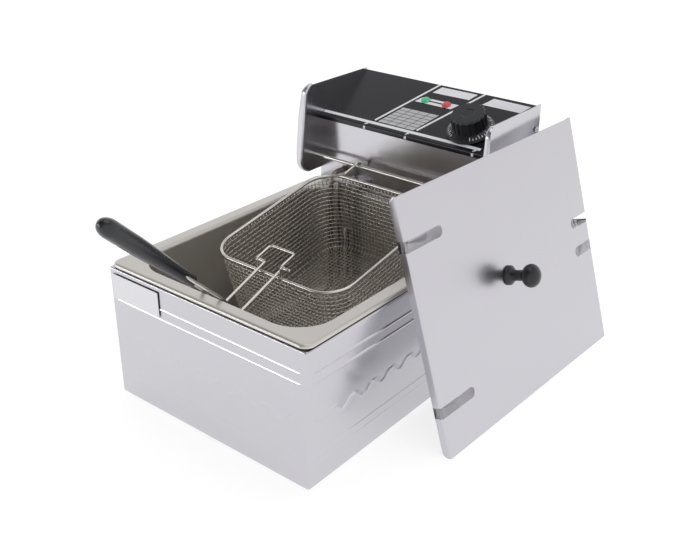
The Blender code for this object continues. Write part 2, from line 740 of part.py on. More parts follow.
def make_screws(head):
    """Dome-headed screws that hold the cheeks to the back cover's returns."""
    profile = [(0, 0.0016), (0.0015, 0.0014), (0.0028, 0.0008), (0.0032, 0), (0, 0)]
    y, z = HEAD_BACK_Y - 0.008, PANEL_BACK_Z - 0.026
    for name, side in (("cheek_screw_left", -1), ("cheek_screw_right", 1)):
        turned(name, profile, "steel", head, (side * (CHEEK_X + GAP), y, z),
               (0, side * math.pi / 2, 0), 12)


# ---------------------------------------------------------------- head fittings
def capillary_x():
    return guard_x() + 0.003


def capillary_z():
    return GUARD_TOP_Z + 0.003


def guard_x():
    return -ELEMENT_X + ELEMENT_RADIUS + 0.002 + GUARD_WIDTH / 2


def make_hanger_bar(head):
    reach = HEAD_INNER_X
    wire("hanger_bar", [(-reach, BAR_Y, BAR_Z), (reach, BAR_Y, BAR_Z)], BAR_RADIUS, "wire", head)


def element_path():
    """From inside the head, out and down one side, round the tank floor and back up the other."""
    tail = HEAD_FRONT_Y + ELEMENT_TAIL
    back = ELEMENT_LEG_Y - ELEMENT_INNER_RUN
    half = [
        (-ELEMENT_X, tail, ELEMENT_EXIT_Z), (-ELEMENT_X, ELEMENT_LEG_Y, ELEMENT_EXIT_Z),
        (-ELEMENT_X, ELEMENT_LEG_Y, ELEMENT_FLOOR_Z), (-ELEMENT_X, ELEMENT_FRONT_Y, ELEMENT_FLOOR_Z),
        (-ELEMENT_INNER_X, ELEMENT_FRONT_Y, ELEMENT_FLOOR_Z), (-ELEMENT_INNER_X, back, ELEMENT_FLOOR_Z),
    ]
    other = [(-x, y, z) for x, y, z in reversed(half)]
    return fillet(half + other, ELEMENT_BEND, 4)


def make_element(head):
    wire("heating_element", element_path(), ELEMENT_RADIUS, "element", head)
    y = HEAD_FRONT_Y + SHEET + GAP
    for name, side in (("element_nut_left", -1), ("element_nut_right", 1)):
        nut = flat_plate(circle(NUT_RADIUS, count=6), NUT_HEIGHT,
                         [circle(ELEMENT_RADIUS + GAP, count=16)])
        add_object(name, nut, "brass", head, (side * ELEMENT_X, y, ELEMENT_EXIT_Z),
                   (-math.pi / 2, 0, 0))


def make_guard(head):
    """Bent strip that shields the sensing bulb, fixed to the front face."""
    guard = bent_sheet("sensor_guard",
                       [(HEAD_FRONT_Y - GAP, GUARD_TOP_Z), (GUARD_Y, GUARD_TOP_Z), (GUARD_Y, GUARD_LOW_Z)],
                       GUARD_WIDTH, "steel", head, SHEET, -1.0)
    guard.location.x = guard_x()


def make_bulb(head):
    """Capillary tube out of the face, then down to the thicker sensing bulb."""
    x, y, z = capillary_x(), GUARD_Y - BULB_RADIUS - 0.0016, capillary_z()
    path = fillet([(x, HEAD_FRONT_Y + 0.015, z), (x, y, z), (x, y, GUARD_LOW_Z + BULB_LENGTH)], 0.005, 4)
    low = GUARD_LOW_Z + 0.004
    ratio = BULB_RADIUS / CAPILLARY_RADIUS
    path += [Vector((x, y, GUARD_LOW_Z + BULB_LENGTH - 0.004)), Vector((x, y, low + 0.003)),
             Vector((x, y, low))]
    radii = [1.0] * (len(path) - 3) + [ratio, ratio, 0.4 * ratio]
    wire("sensing_bulb", path, CAPILLARY_RADIUS, "wire", head, radii=radii)


def make_thermostat(head):
    """Thermostat case hung under the panel on the knob's axis."""
    half, top = THERMOSTAT_HALF, -SHEET - GAP
    mesh = block((-half, -half, top - THERMOSTAT_DEPTH), (half, half, top))
    case = add_object("thermostat", mesh, "brass", head, panel_point(KNOB_U, KNOB_V),
                      (PANEL_SLOPE, 0, 0))
    bore = cylinder(SHAFT_RADIUS + GAP, -0.012, 0.01)
    cut(case, cutter("thermostat_bore", bore, head, panel_point(KNOB_U, KNOB_V), (PANEL_SLOPE, 0, 0)))


def make_lamps(head):
    """Lens in front of the panel and lamp holder behind it, one green and one red."""
    top = GAP + OVERLAY + GAP
    lens = [(0, top + LAMP_HEIGHT), (LAMP_RADIUS * 0.5, top + LAMP_HEIGHT * 0.86),
            (LAMP_RADIUS * 0.87, top + LAMP_HEIGHT * 0.5), (LAMP_RADIUS, top), (LAMP_NECK, top),
            (LAMP_NECK, -0.0035), (0, -0.0035)]
    low = -SHEET - GAP
    holder = [(0, -0.0038), (LAMP_NECK + GAP, -0.0038), (LAMP_NECK + GAP, low), (LAMP_RADIUS, low),
              (LAMP_RADIUS, -0.022), (0, -0.022)]
    for colour, x in zip(("green", "red"), LAMP_X):
        place = panel_point(x, LAMP_V)
        turned(f"lamp_lens_{colour}", lens, f"{colour}_lens", head, place, (PANEL_SLOPE, 0, 0), 16)
        turned(f"lamp_holder_{colour}", holder, "white_plastic", head, place, (PANEL_SLOPE, 0, 0), 16)


def make_terminal_block(head):
    floor = REAR_BOX_BOTTOM_Z + SHEET + GAP
    low, high = TERMINALS_X
    front = REAR_BOX_Y + TERMINALS_DEPTH
    mesh = block((low, front, floor), (high, front + TERMINALS_DEPTH, floor + TERMINALS_HEIGHT))
    add_object("terminal_block", mesh, "white_plastic", head)


def make_cutout(head):
    """Over-temperature cut-out behind the back cover's reset hole."""
    y = HEAD_BACK_Y - SHEET - GAP
    body = [(0, -0.0095), (0.0025, -0.0095), (0.0025, 0), (CUTOUT_RADIUS, 0),
            (CUTOUT_RADIUS, -CUTOUT_DEPTH), (0, -CUTOUT_DEPTH)]
    turned("thermal_cutout", body, "black_plastic", head, (RESET_X, y, RESET_Z),
           (-math.pi / 2, 0, 0), 16)


def make_gland(head):
    """Cable entry: flange outside, neck through the cover, lock collar inside."""
    y = HEAD_BACK_Y
    body = [(0.0035, 0.010), (0.006, 0.010), (0.0085, 0.004), (0.0105, 0.004), (0.0105, GAP),
            (GLAND_NECK, GAP), (GLAND_NECK, -0.010), (0.0035, -0.010), (0.0035, 0.010)]
    turned("cable_gland", body, "black_plastic", head, (GLAND_X, y, GLAND_Z),
           (-math.pi / 2, 0, 0), 16)


def make_safety_switch(head):
    """Switch behind the rear box's front wall; the body's rear wall presses it when the head is on."""
    y = REAR_BOX_Y + SHEET + GAP
    width, depth, height = SWITCH_SIZE
    mesh = block((SWITCH_X - width / 2, y, SWITCH_Z - height / 2),
                 (SWITCH_X + width / 2, y + depth, SWITCH_Z + height / 2))
    switch = add_object("safety_switch", mesh, "black_plastic", head)
    bore = cylinder(PLUNGER_RADIUS + GAP, -0.010, 0.0055, 12)
    tool = cutter("plunger_bore", bore, head, (SWITCH_X, y, SWITCH_Z), (-math.pi / 2, 0, 0))
    cut(switch, tool)
    cut(bpy.data.objects["head_base"], tool)


def lead(name, points, head):
    """A short insulated wire inside the head."""
    wire(name, fillet(points, LEAD_BEND, 3), LEAD_RADIUS, "white_plastic", head)


def make_leads(head):
    """Wiring: terminals to thermostat, terminals to element, element to cut-out."""
    block_top = REAR_BOX_BOTTOM_Z + SHEET + TERMINALS_HEIGHT + 2 * GAP + LEAD_RADIUS
    block_y = REAR_BOX_Y + 1.5 * TERMINALS_DEPTH
    first, second = TERMINALS_LEADS
    under = panel_point(KNOB_U, KNOB_V, -SHEET - THERMOSTAT_DEPTH - 4 * GAP - LEAD_RADIUS)
    tail_y = HEAD_FRONT_Y + ELEMENT_TAIL + GAP
    lead("lead_to_thermostat", [(first, block_y, block_top), (first, block_y, RIM_Z + 0.0044),
                                (KNOB_U, under.y, RIM_Z + 0.0344), under], head)
    lead("lead_to_element", [(second, block_y, block_top), (second, block_y, RIM_Z - 0.0106),
                             (ELEMENT_X, block_y, ELEMENT_EXIT_Z),
                             (ELEMENT_X, tail_y, ELEMENT_EXIT_Z)], head)
    cutout_y = HEAD_BACK_Y - SHEET - GAP * 2 - CUTOUT_DEPTH
    bend_y = cutout_y - 1.4 * LEAD_BEND
    lead("lead_to_cutout", [(-ELEMENT_X, tail_y, ELEMENT_EXIT_Z), (-ELEMENT_X, bend_y, ELEMENT_EXIT_Z),
                            (RESET_X, bend_y, RESET_Z), (RESET_X, cutout_y, RESET_Z)], head)


# ---------------------------------------------------------------- moving small pieces
def make_knob(head):
    """Thermostat knob on its shaft; the frame's Z axis is the axis of rotation."""
    axis = pivot("knob_axis", head, panel_point(KNOB_U, KNOB_V), (PANEL_SLOPE, 0, 0))
    low = GAP + OVERLAY + KNOB_LIFT
    top = low + KNOB_HEIGHT
    edge = 0.0015
    profile = [(0, top), (KNOB_GRIP_RADIUS - edge, top), (KNOB_GRIP_RADIUS, top - edge),
               (KNOB_GRIP_RADIUS + 0.0005, low + KNOB_SKIRT + 0.002),
               (KNOB_SKIRT_RADIUS - 0.002, low + KNOB_SKIRT), (KNOB_SKIRT_RADIUS, low + 0.001),
               (KNOB_SKIRT_RADIUS, low), (SHAFT_RADIUS + GAP, low), (SHAFT_RADIUS + GAP, top - 0.006),
               (0, top - 0.006)]
    turned("thermostat_knob", profile, "black_plastic", axis, steps=32)
    shaft = [(0, top - 0.006 - GAP), (SHAFT_RADIUS, top - 0.006 - GAP), (SHAFT_RADIUS, -0.0115),
             (0, -0.0115)]
    turned("thermostat_shaft", shaft, "brass", axis, steps=16)


def make_reset_button(head):
    """Push button in the cut-out; its frame's Z axis points out of the back cover."""
    y = HEAD_BACK_Y - SHEET - GAP
    axis = pivot("reset_axis", head, (RESET_X, y, RESET_Z), (-math.pi / 2, 0, 0))
    profile = [(0, 0.0045), (0.0016, 0.0042), (0.0022, 0.0035), (0.0022, -0.0065), (0, -0.0065)]
    turned("reset_button", profile, "red_lens", axis, steps=12)


def make_plunger(head):
    """Safety switch's plunger; its frame's Z axis points back into the switch."""
    axis = pivot("plunger_axis", head, (SWITCH_X, BODY_DEPTH, SWITCH_Z), (-math.pi / 2, 0, 0))
    profile = [(0, 0.0085), (PLUNGER_RADIUS, 0.0085), (PLUNGER_RADIUS, 0.0012),
               (PLUNGER_RADIUS * 0.6, 2 * GAP), (0, 2 * GAP)]
    turned("switch_plunger", profile, "white_plastic", axis, steps=12)


# ---------------------------------------------------------------- basket
def basket_ring(shrink, corner, z):
    outline = rounded_rectangle(BASKET_WIDTH - 2 * shrink, BASKET_LENGTH - 2 * shrink, corner, 5)
    return [(x, y, z) for x, y in outline]


def make_basket_mesh(frame):
    """Tapering walls and a floor, as a thin open shell just under the rim wire."""
    top_shrink = RIM_WIRE
    rings = [basket_ring(top_shrink, BASKET_CORNER - top_shrink, -RIM_WIRE - GAP)]
    for k in range(4):
        angle = k / 3 * math.pi / 2
        shrink = BASKET_TAPER + BASKET_FLOOR_RADIUS * (1 - math.cos(angle))
        rise = BASKET_FLOOR_RADIUS * (1 - math.sin(angle))
        corner = BASKET_CORNER - shrink + BASKET_TAPER * 0.5
        rings.append(basket_ring(shrink, corner, -BASKET_DEPTH + rise))
    ring_shell("basket_mesh", rings, "wire", frame, BASKET_WALL, 1.0, close_end=True)


def make_basket_rim(frame):
    outline = rounded_rectangle(BASKET_WIDTH - 2 * RIM_WIRE, BASKET_LENGTH - 2 * RIM_WIRE,
                                BASKET_CORNER - RIM_WIRE, 6)
    wire("basket_rim", [(x, y, 0) for x, y in outline], RIM_WIRE, "wire", frame, closed=True)


def make_hooks(basket):
    """Two wires from the rear rim, up and over the hanger bar and down behind it."""
    rear = frame_point(0, BASKET_LENGTH / 2 - RIM_WIRE, RIM_WIRE + GAP + HOOK_WIRE)
    clear = BAR_RADIUS + HOOK_WIRE + GAP
    low = (rear.y, rear.z)
    path = [low, (BAR_Y - clear - 0.0015, BAR_Z + clear * 0.6), (BAR_Y - clear * 0.2, BAR_Z + clear * 1.15),
            (BAR_Y + clear, BAR_Z + clear * 0.7), (BAR_Y + clear + 0.0006, BAR_Z - 0.005)]
    for name, side in (("basket_hook_left", -1), ("basket_hook_right", 1)):
        points = [(side * HOOK_X, y, z) for y, z in path]
        rounded = fillet(points, [0, 0.003, 0.0022, 0.0022, 0], 3)
        local = [local_to(basket, p) for p in rounded]
        wire(name, local, HOOK_WIRE, "wire", basket)


def frame_point(x, y, z):
    """A point of the tilted basket's frame in the building frame."""
    c, s = math.cos(BASKET_TILT), math.sin(BASKET_TILT)
    return Vector((x, BASKET_Y + y * c - z * s, BASKET_Z + y * s + z * c))


def make_handle_bracket(basket):
    """Wire stirrup on the front rim that holds the handle's pins down."""
    start = frame_point(0, -BASKET_LENGTH / 2 + RIM_WIRE, RIM_WIRE + GAP)
    y, z = start.y, start.z
    lean = [(BRACKET_X, y, z + BRACKET_WIRE * 0.2), (BRACKET_X, y + 0.0005, z + BRACKET_POSTS),
            (BRACKET_X, y + BRACKET_REACH, z + BRACKET_HEIGHT)]
    path = lean + [(-px, py, pz) for px, py, pz in reversed(lean)]
    rounded = fillet(path, [0, 0.003, 0.004, 0.004, 0.003, 0], 3)
    wire("handle_bracket", [local_to(basket, p) for p in rounded], BRACKET_WIRE, "wire", basket)


def make_basket(basket):
    frame = pivot("basket_frame", basket, local_to(basket, (0, BASKET_Y, BASKET_Z)),
                  (BASKET_TILT, 0, 0))
    make_basket_mesh(frame)
    make_basket_rim(frame)
    make_hooks(basket)
    make_handle_bracket(basket)


# ---------------------------------------------------------------- handle
def handle_rest():
    """Where the handle's wires bend over the rounded lip of the tank's front flange."""
    lip = Vector((0, TANK_INSET + TANK_RIM_END - TANK_LIP_RADIUS, RIM_Z - TANK_LIP_RADIUS))
    over = Vector((0, math.sin(HANDLE_REST_ANGLE), math.cos(HANDLE_REST_ANGLE)))
    return lip + over * (TANK_LIP_RADIUS + HANDLE_WIRE + 4 * GAP)


def grip_axis():
    """Lower end of the grip, and the unit direction from there to its free end."""
    rest = handle_rest()
    free = Vector((0, GRIP_END_Y, GRIP_END_Z))
    along = (free - rest).normalized()
    share = (rest.y - HANDLE_NECK_Y) / -along.y
    return rest + along * share, along


def make_handle_wires(handle):
    """One wire: pin, over the rim, down and up the V, into the grip and back the same way."""
    neck, along = grip_axis()
    rest = handle_rest()
    inside = neck + along * (GRIP_BORE - 0.004)
    over = frame_point(0, -BASKET_LENGTH / 2 + RIM_WIRE, RIM_WIRE + GAP + HANDLE_WIRE)
    half = [
        (HANDLE_PIN_X, HANDLE_PIN_Y, HANDLE_PIN_Z), (HANDLE_X, HANDLE_PIN_Y, HANDLE_PIN_Z),
        (HANDLE_X, over.y - 0.001, over.z + 0.0004), (HANDLE_X, HANDLE_V_Y, HANDLE_V_Z),
        (HANDLE_X, rest.y, rest.z), (HANDLE_X * 0.6, neck.y, neck.z),
        (HANDLE_X * 0.4, inside.y, inside.z),
    ]
    radii = [0, 0.0022, 0.010, 0.010, 0.004, 0.008, 0.004]
    other = [(-x, y, z) for x, y, z in reversed(half)]
    path = fillet(half + other, radii + radii[::-1], 4)
    wire("handle_wires", [local_to(handle, p) for p in path], HANDLE_WIRE, "wire", handle)


def make_grip(handle):
    """Black grip, an oval bar with round ends, bored for the two wires."""
    neck, along = grip_axis()
    free = Vector((0, GRIP_END_Y, GRIP_END_Z))
    length = (free - neck).length
    slope = math.atan2(along.z, -along.y)
    work = bmesh.new()
    bmesh.ops.create_uvsphere(work, u_segments=16, v_segments=10, radius=0.5)
    mesh = bpy.data.meshes.new("grip")
    for vertex in work.verts:
        x, y, z = vertex.co * 2
        t = math.copysign(abs(z) ** 0.45, z)
        radial = math.hypot(x, y)
        fullness = 0.0
        if radial > 1e-6:
            fullness = (0.88 + 0.12 * t) * (1 - abs(t) ** 12) ** 0.5 / radial
        vertex.co = (x * fullness * GRIP_WIDTH / 2, y * fullness * GRIP_THICKNESS / 2,
                     t * length / 2)
    work.to_mesh(mesh)
    work.free()
    mesh.shade_smooth()
    centre = (neck + free) / 2
    turn = (math.pi / 2 - slope, 0, 0)
    grip = add_object("handle_grip", mesh, "black_plastic", handle, local_to(handle, centre), turn)
    bore = block((-HANDLE_X, -HANDLE_WIRE - GAP, -length / 2 - 0.01),
                 (HANDLE_X, HANDLE_WIRE + GAP, -length / 2 + GRIP_BORE))
    cut(grip, cutter("grip_bore", bore, handle, local_to(handle, centre), turn))


# ---------------------------------------------------------------- lid
def lid_slots():
    """Four round-ended slots: two long ones in the rear edge, two short ones in the front edge."""
    tools = []
    middle = LID_HEIGHT / 2
    for u, length, offset in ((0.0, LONG_SLOT, LONG_SLOT_OFFSET),
                              (LID_LENGTH, SHORT_SLOT, SHORT_SLOT_OFFSET)):
        outline = rounded_rectangle(2 * length, SLOT_WIDTH, SLOT_WIDTH / 2 - 0.0001, 4)
        for side in (-1, 1):
            shifted = [(u + x, middle + side * offset + y) for x, y in outline]
            tools.append(shifted)
    return tools


def make_lid(lid):
    """Leaning sheet with its front and rear edges folded back; u runs along X, v along Y."""
    depth = LID_FLANGE
    profile = [(0, -depth), (0, 0), (LID_LENGTH, 0), (LID_LENGTH, -depth)]
    points = []
    for u, w in profile:
        points += [(u, 0, w), (u, LID_HEIGHT, w)]
    faces = [(2 * k, 2 * k + 2, 2 * k + 3, 2 * k + 1) for k in range(len(profile) - 1)]
    mesh = bpy.data.meshes.new("lid_plate")
    mesh.from_pydata(points, [], faces)
    plate = add_object("lid_plate", mesh, "steel", lid)
    solidify(plate, SHEET, -1.0)
    for k, outline in enumerate(lid_slots()):
        tool_mesh = flat_plate(outline, 0.04)
        cut(plate, cutter(f"lid_slot_{k}", tool_mesh, lid, (0, 0, -0.02)))
    trim_lid_corners(plate, lid)
    make_lid_knob(lid)


def trim_lid_corners(plate, lid):
    """Rounds the free corners of both folded edges."""
    size = LID_CORNER
    arc = [(size * (1 - math.sin(k / 6 * math.pi / 2)), size * (1 - math.cos(k / 6 * math.pi / 2)))
           for k in range(7)]
    outline = [(-0.01, -0.01)] + [(size, -0.01)] + arc + [(-0.01, size)]
    stand_up = Matrix(((0, 0, 1, 0), (0, 1, 0, 0), (1, 0, 0, 0), (0, 0, 0, 1)))
    for v, flip in ((0.0, 1), (LID_HEIGHT, -1)):
        mesh = flat_plate([(w, s) for w, s in outline], LID_LENGTH + 0.02)
        mesh.transform(stand_up)
        mesh.transform(Matrix.Translation((-0.01, 0, -LID_FLANGE)))
        mesh.transform(Matrix.Diagonal((1, flip, 1, 1)))
        end = "low" if flip > 0 else "high"
        cut(plate, cutter(f"lid_corners_{end}", outward(mesh), lid, (0, v, 0)))


def make_lid_knob(lid):
    base, neck, ball = 0.0125, 0.0076, 0.0140
    top = LID_KNOB_HEIGHT
    profile = [(0, top), (0.0060, top - 0.0007), (0.0110, top - 0.0038), (ball, top - 0.0100),
               (0.0130, top - 0.0150), (0.0102, top - 0.0190), (neck, top - 0.0215), (neck, 0.0080),
               (0.0098, 0.0036), (base, 0.0020), (base, GAP), (0.0021, GAP), (0.0021, 0.0140),
               (0, 0.0140)]
    place = (LID_KNOB_U, LID_KNOB_V, 0)
    turned("lid_knob", profile, "black_plastic", lid, place, steps=24)
    hole = cylinder(0.0023, -0.01, 0.01, 12)
    cut(bpy.data.objects["lid_plate"], cutter("lid_knob_hole", hole, lid, place))
    screw = [(0, 0.0120), (0.0018, 0.0120), (0.0018, -SHEET - GAP), (0.0040, -SHEET - GAP),
             (0.0036, -SHEET - 0.0022), (0, -SHEET - 0.0026)]
    turned("lid_knob_screw", screw, "steel", lid, place, steps=12)


def lid_turn():
    """Rotation that stands the lid on its long edge, leaning in over the tank."""
    c, s = math.cos(LID_LEAN), math.sin(LID_LEAN)
    along = Vector((math.sin(LID_YAW), math.cos(LID_YAW), 0))
    outward = Vector((math.cos(LID_YAW), -math.sin(LID_YAW), 0))
    up = Vector((0, 0, c)) - outward * s
    face = along.cross(up)
    return Matrix((along, up, face)).transposed().to_euler()


def lid_corner():
    """Place of the lid's near lower corner, with its folded edges' corners on the counter."""
    along = Vector((math.sin(LID_YAW), math.cos(LID_YAW), 0))
    foot = Vector((LID_FOOT_X, LID_MID_Y, LID_FOOT_Z))
    return foot - along * (LID_LENGTH / 2)


# ---------------------------------------------------------------- assembly
def make_head(head):
    make_front_plate(head)
    make_head_base(head)
    make_hook_plate(head)
    make_panel(head)
    make_cheeks(head)
    make_back_cover(head)
    make_screws(head)
    make_hanger_bar(head)
    make_element(head)
    make_guard(head)
    make_bulb(head)
    make_thermostat(head)
    make_lamps(head)
    make_terminal_block(head)
    make_cutout(head)
    make_gland(head)
    make_safety_switch(head)
    make_leads(head)
    make_knob(head)
    make_reset_button(head)
    make_plunger(head)


def stand_on_origin(root):
    """Shift the whole set so that the middle of its footprint is the origin."""
    bpy.context.view_layer.update()
    graph = bpy.context.evaluated_depsgraph_get()
    low, high = Vector((9, 9, 9)), Vector((-9, -9, -9))
    for item in collection(PARTS).objects:
        if item.type != "MESH":
            continue
        mesh = item.evaluated_get(graph).to_mesh()
        for vertex in mesh.vertices:
            point = item.matrix_world @ vertex.co
            low = Vector(map(min, low, point))
            high = Vector(map(max, high, point))
    root.location = (-(low.x + high.x) / 2, -(low.y + high.y) / 2, 0)
    bpy.context.view_layer.update()
    print("shift", [round(v, 6) for v in root.location], "size", [round(v, 5) for v in high - low],
          "lowest", round(low.z, 6))


def main():
    clear_scene()
    root = pivot("fryer", None, (0, 0, 0))
    tank = pivot("tank_lift", root, (0, 0, 0))
    head = pivot("head_lift", tank, (0, 0, 0))
    basket = pivot("basket_lift", head, (0, 0, 0))
    handle = pivot("handle_pivot", basket, (0, HANDLE_PIN_Y, HANDLE_PIN_Z))
    lid = pivot("lid_lift", root, lid_corner(), lid_turn())
    make_body(root)
    make_tank(tank)
    make_head(head)
    make_basket(basket)
    make_handle_wires(handle)
    make_grip(handle)
    make_lid(lid)
    stand_on_origin(root)


main()
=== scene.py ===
"""Looks of a counter-top deep fryer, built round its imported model.

Every piece is worked out in a building frame where X = 0 is the middle of the body, Y = 0 is its
front wall and Z = 0 is the counter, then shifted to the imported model's own frame. Units are metres.
"""

import json
import math

import bmesh
import bpy
import numpy as np
from bpy.props import FloatProperty, FloatVectorProperty, IntProperty, PointerProperty
from bpy.types import Operator, Panel, PropertyGroup
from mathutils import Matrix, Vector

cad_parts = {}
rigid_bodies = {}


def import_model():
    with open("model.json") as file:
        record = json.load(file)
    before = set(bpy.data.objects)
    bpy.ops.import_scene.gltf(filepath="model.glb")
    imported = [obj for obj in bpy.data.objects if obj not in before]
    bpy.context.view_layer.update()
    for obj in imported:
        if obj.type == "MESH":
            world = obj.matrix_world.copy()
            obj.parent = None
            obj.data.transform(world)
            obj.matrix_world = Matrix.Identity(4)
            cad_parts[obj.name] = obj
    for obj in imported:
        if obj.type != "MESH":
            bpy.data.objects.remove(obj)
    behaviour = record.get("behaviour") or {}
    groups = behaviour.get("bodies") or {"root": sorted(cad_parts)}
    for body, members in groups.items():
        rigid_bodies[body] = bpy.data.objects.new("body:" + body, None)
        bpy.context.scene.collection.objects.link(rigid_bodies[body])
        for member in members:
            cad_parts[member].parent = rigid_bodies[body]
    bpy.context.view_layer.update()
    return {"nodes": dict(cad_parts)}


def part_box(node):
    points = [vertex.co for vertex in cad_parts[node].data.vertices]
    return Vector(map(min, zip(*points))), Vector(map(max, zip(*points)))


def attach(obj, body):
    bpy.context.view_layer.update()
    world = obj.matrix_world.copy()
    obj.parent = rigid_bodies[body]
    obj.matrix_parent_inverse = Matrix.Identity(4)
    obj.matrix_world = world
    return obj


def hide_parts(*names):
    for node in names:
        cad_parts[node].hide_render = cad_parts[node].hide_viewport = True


bl_info = {
    "name": "Deep fryer looks",
    "version": (1, 0, 0),
    "blender": (4, 5, 0),
    "location": "3D View > Sidebar > Fryer",
    "description": "Builds the steel body, tank, head, basket, handle and lid of a deep fryer",
    "category": "Object",
}

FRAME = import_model()
SHELL_LOW, SHELL_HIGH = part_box("body_shell")
ORIGIN = np.array(((SHELL_LOW.x + SHELL_HIGH.x) / 2, SHELL_LOW.y, 0.0))

# ---------------------------------------------------------------- sizes shared by several pieces
GAP = 0.0003
SHEET = 0.001
DEPTH = SHELL_HIGH.y - SHELL_LOW.y
WIDTH = SHELL_HIGH.x - SHELL_LOW.x
SHOULDER_Z = 0.161
SEAT_Z = 0.1645
RIM_Z = 0.1656
TANK_INSET = 0.0025
TANK_RIM_END = 0.016
TANK_LIP_RADIUS = 0.004

HEAD_FRONT_Y = 0.3345
HEAD_BACK_Y = 0.4275
FACE_TOP_Z = 0.251
PANEL_BACK_Z = 0.290
PANEL_LIP = 0.005
PANEL_SLOPE = math.atan2(PANEL_BACK_Z - FACE_TOP_Z, HEAD_BACK_Y - HEAD_FRONT_Y)
HEAD_LOW_Z = RIM_Z + 0.0015
REAR_BOX_Y = DEPTH + 0.0045
REAR_BOX_BOTTOM_Z = 0.105
CHEEK_X = 0.1285
CHEEK_LOW_Z = 0.182
CHEEK_TOP_Z = 0.292
CHEEK_FRONT_LOW_Y = 0.2955
CHEEK_FRONT_TOP_Y = 0.3080
HEAD_INNER_X = CHEEK_X - SHEET - GAP

KNOB_U, KNOB_V = 0.073, 0.0345
LAMP_V = 0.0657
LAMP_X = (-0.0109, 0.0194)

BASKET_Y = 0.198
BASKET_Z = 0.1765
BASKET_TILT = math.radians(10.8)
RIM_WIRE = 0.0020
HOOK_WIRE = 0.0016
STIRRUP_WIRE = 0.0015
HANDLE_WIRE = 0.0018
ELEMENT_TUBE = 0.00325
BAR_Y, BAR_Z, BAR_RADIUS = 0.3215, 0.2025, 0.0022

SHELL_LOW_Z = 0.005
SHELL_FOLD = 0.0016
SHELL_CORNER = 0.004
TANK_FOLD = 0.0027
TANK_EDGE_CORNER = 0.010
CHEEK_BEND = 0.0030
CHEEK_REACH = 0.0080

FILM = 0.0005
DIAL_FOOT_Z = GAP + FILM + 0.0010
PRINT_RISE = 0.00086
PRINT_THICKNESS = 0.00006
OVERPRINT = 0.00005
MM = 0.001

GRIP_FREE_END = (0, -0.1040, 0.2860)
GRIP_HALF_WIDTH = 0.0104
GRIP_HALF_THICKNESS = 0.0093
GRIP_GROOVE = 0.0042
LID_KNOB_ALONG, LID_KNOB_UP = 0.157, 0.145

CAMERA_PLACE = (0.5842, -0.7354, 0.6129)
CAMERA_DEGREES = (62.8954, -0.4942, 38.8033)
CAMERA_LENS = 49.26
FLOOR_HALF = 6.0


# ---------------------------------------------------------------- user settings
def length(name, description, default):
    return FloatProperty(name=name, description=description, default=default, unit="LENGTH",
                         precision=4, min=0.0)


def colour(name, description, default):
    return FloatVectorProperty(name=name, description=description, default=default,
                               subtype="COLOR", size=3, min=0.0, max=1.0)


class FryerBodySettings(PropertyGroup):
    """Sizes of the embossed lines on the body."""
    line_rise: length("Line rise", "How far an embossed line stands out", 0.0008)
    line_width: length("Line width", "Width of an embossed line", 0.0032)
    wave_pitch: length("Wave pitch", "Length of one wave", 0.031)
    wave_height: length("Wave height", "Height of the wave, trough to crest", 0.0090)
    wave_z: length("Wave middle", "Height of the wave's middle above the counter", 0.0790)
    upper_line: length("Upper line", "Height of the upper straight line", 0.1360)
    lower_line: length("Lower line", "Height of the second straight line", 0.1240)
    foot_line: length("Foot line", "Height of the upper line near the foot", 0.0430)
    foot_line_low: length("Low foot line", "Height of the lower line near the foot", 0.0330)


class FryerTankSettings(PropertyGroup):
    """Sizes of the drawn tank."""
    rim_side: length("Side rim", "Width of the flange at the sides", 0.017)
    depth: length("Depth", "Depth below the rim", 0.150)
    corner: length("Corner", "Radius of the opening's corners", 0.040)
    floor_radius: length("Floor radius", "Rounding between walls and floor", 0.018)
    taper: length("Taper", "How much each wall leans in", 0.002)
    sheet: length("Sheet", "Thickness of the tank's sheet", 0.0008)


class FryerBasketSettings(PropertyGroup):
    """Sizes of the basket and its woven mesh."""
    width: length("Width", "Across the rim", 0.184)
    length: length("Length", "Along the rim", 0.2036)
    depth: length("Depth", "Rim to floor", 0.100)
    corner: length("Corner", "Radius of the rim's corners", 0.035)
    taper: length("Taper", "How much each wall leans in", 0.008)
    floor_radius: length("Floor radius", "Rounding between walls and floor", 0.008)
    pitch: length("Mesh pitch", "Distance between mesh wires", 0.0050)
    wire: length("Mesh wire", "Radius of a mesh wire", 0.00050)


class FryerLidSettings(PropertyGroup):
    """Sizes of the slotted lid."""
    length: length("Length", "Along the edge it stands on", 0.337)
    height: length("Height", "From the edge it stands on to its upper edge", 0.280)
    flange: length("Flange", "Depth of the folded edges", 0.010)
    bend: length("Bend", "Outer radius of the folds", 0.0026)
    corner: length("Corner", "Rounding of the flange's free corners", 0.008)
    slot: length("Slot", "Width of a slot", 0.012)
    lean: FloatProperty(name="Lean", description="Lean from upright", subtype="ANGLE",
                        default=math.radians(17.3))
    yaw: FloatProperty(name="Turn", description="Turn from the body's side", subtype="ANGLE",
                       default=math.radians(1.8))


class FryerDialSettings(PropertyGroup):
    """Sizes of the thermostat dial."""
    skirt: length("Skirt", "Radius of the marked skirt", 0.0285)
    grip: length("Grip", "Radius of the fluted grip", 0.0205)
    height: length("Height", "Height above the panel", 0.0230)
    flutes: IntProperty(name="Flutes", description="Flutes round the grip", default=18, min=3)
    ticks: IntProperty(name="Ticks", description="Marks round the skirt", default=36, min=3)


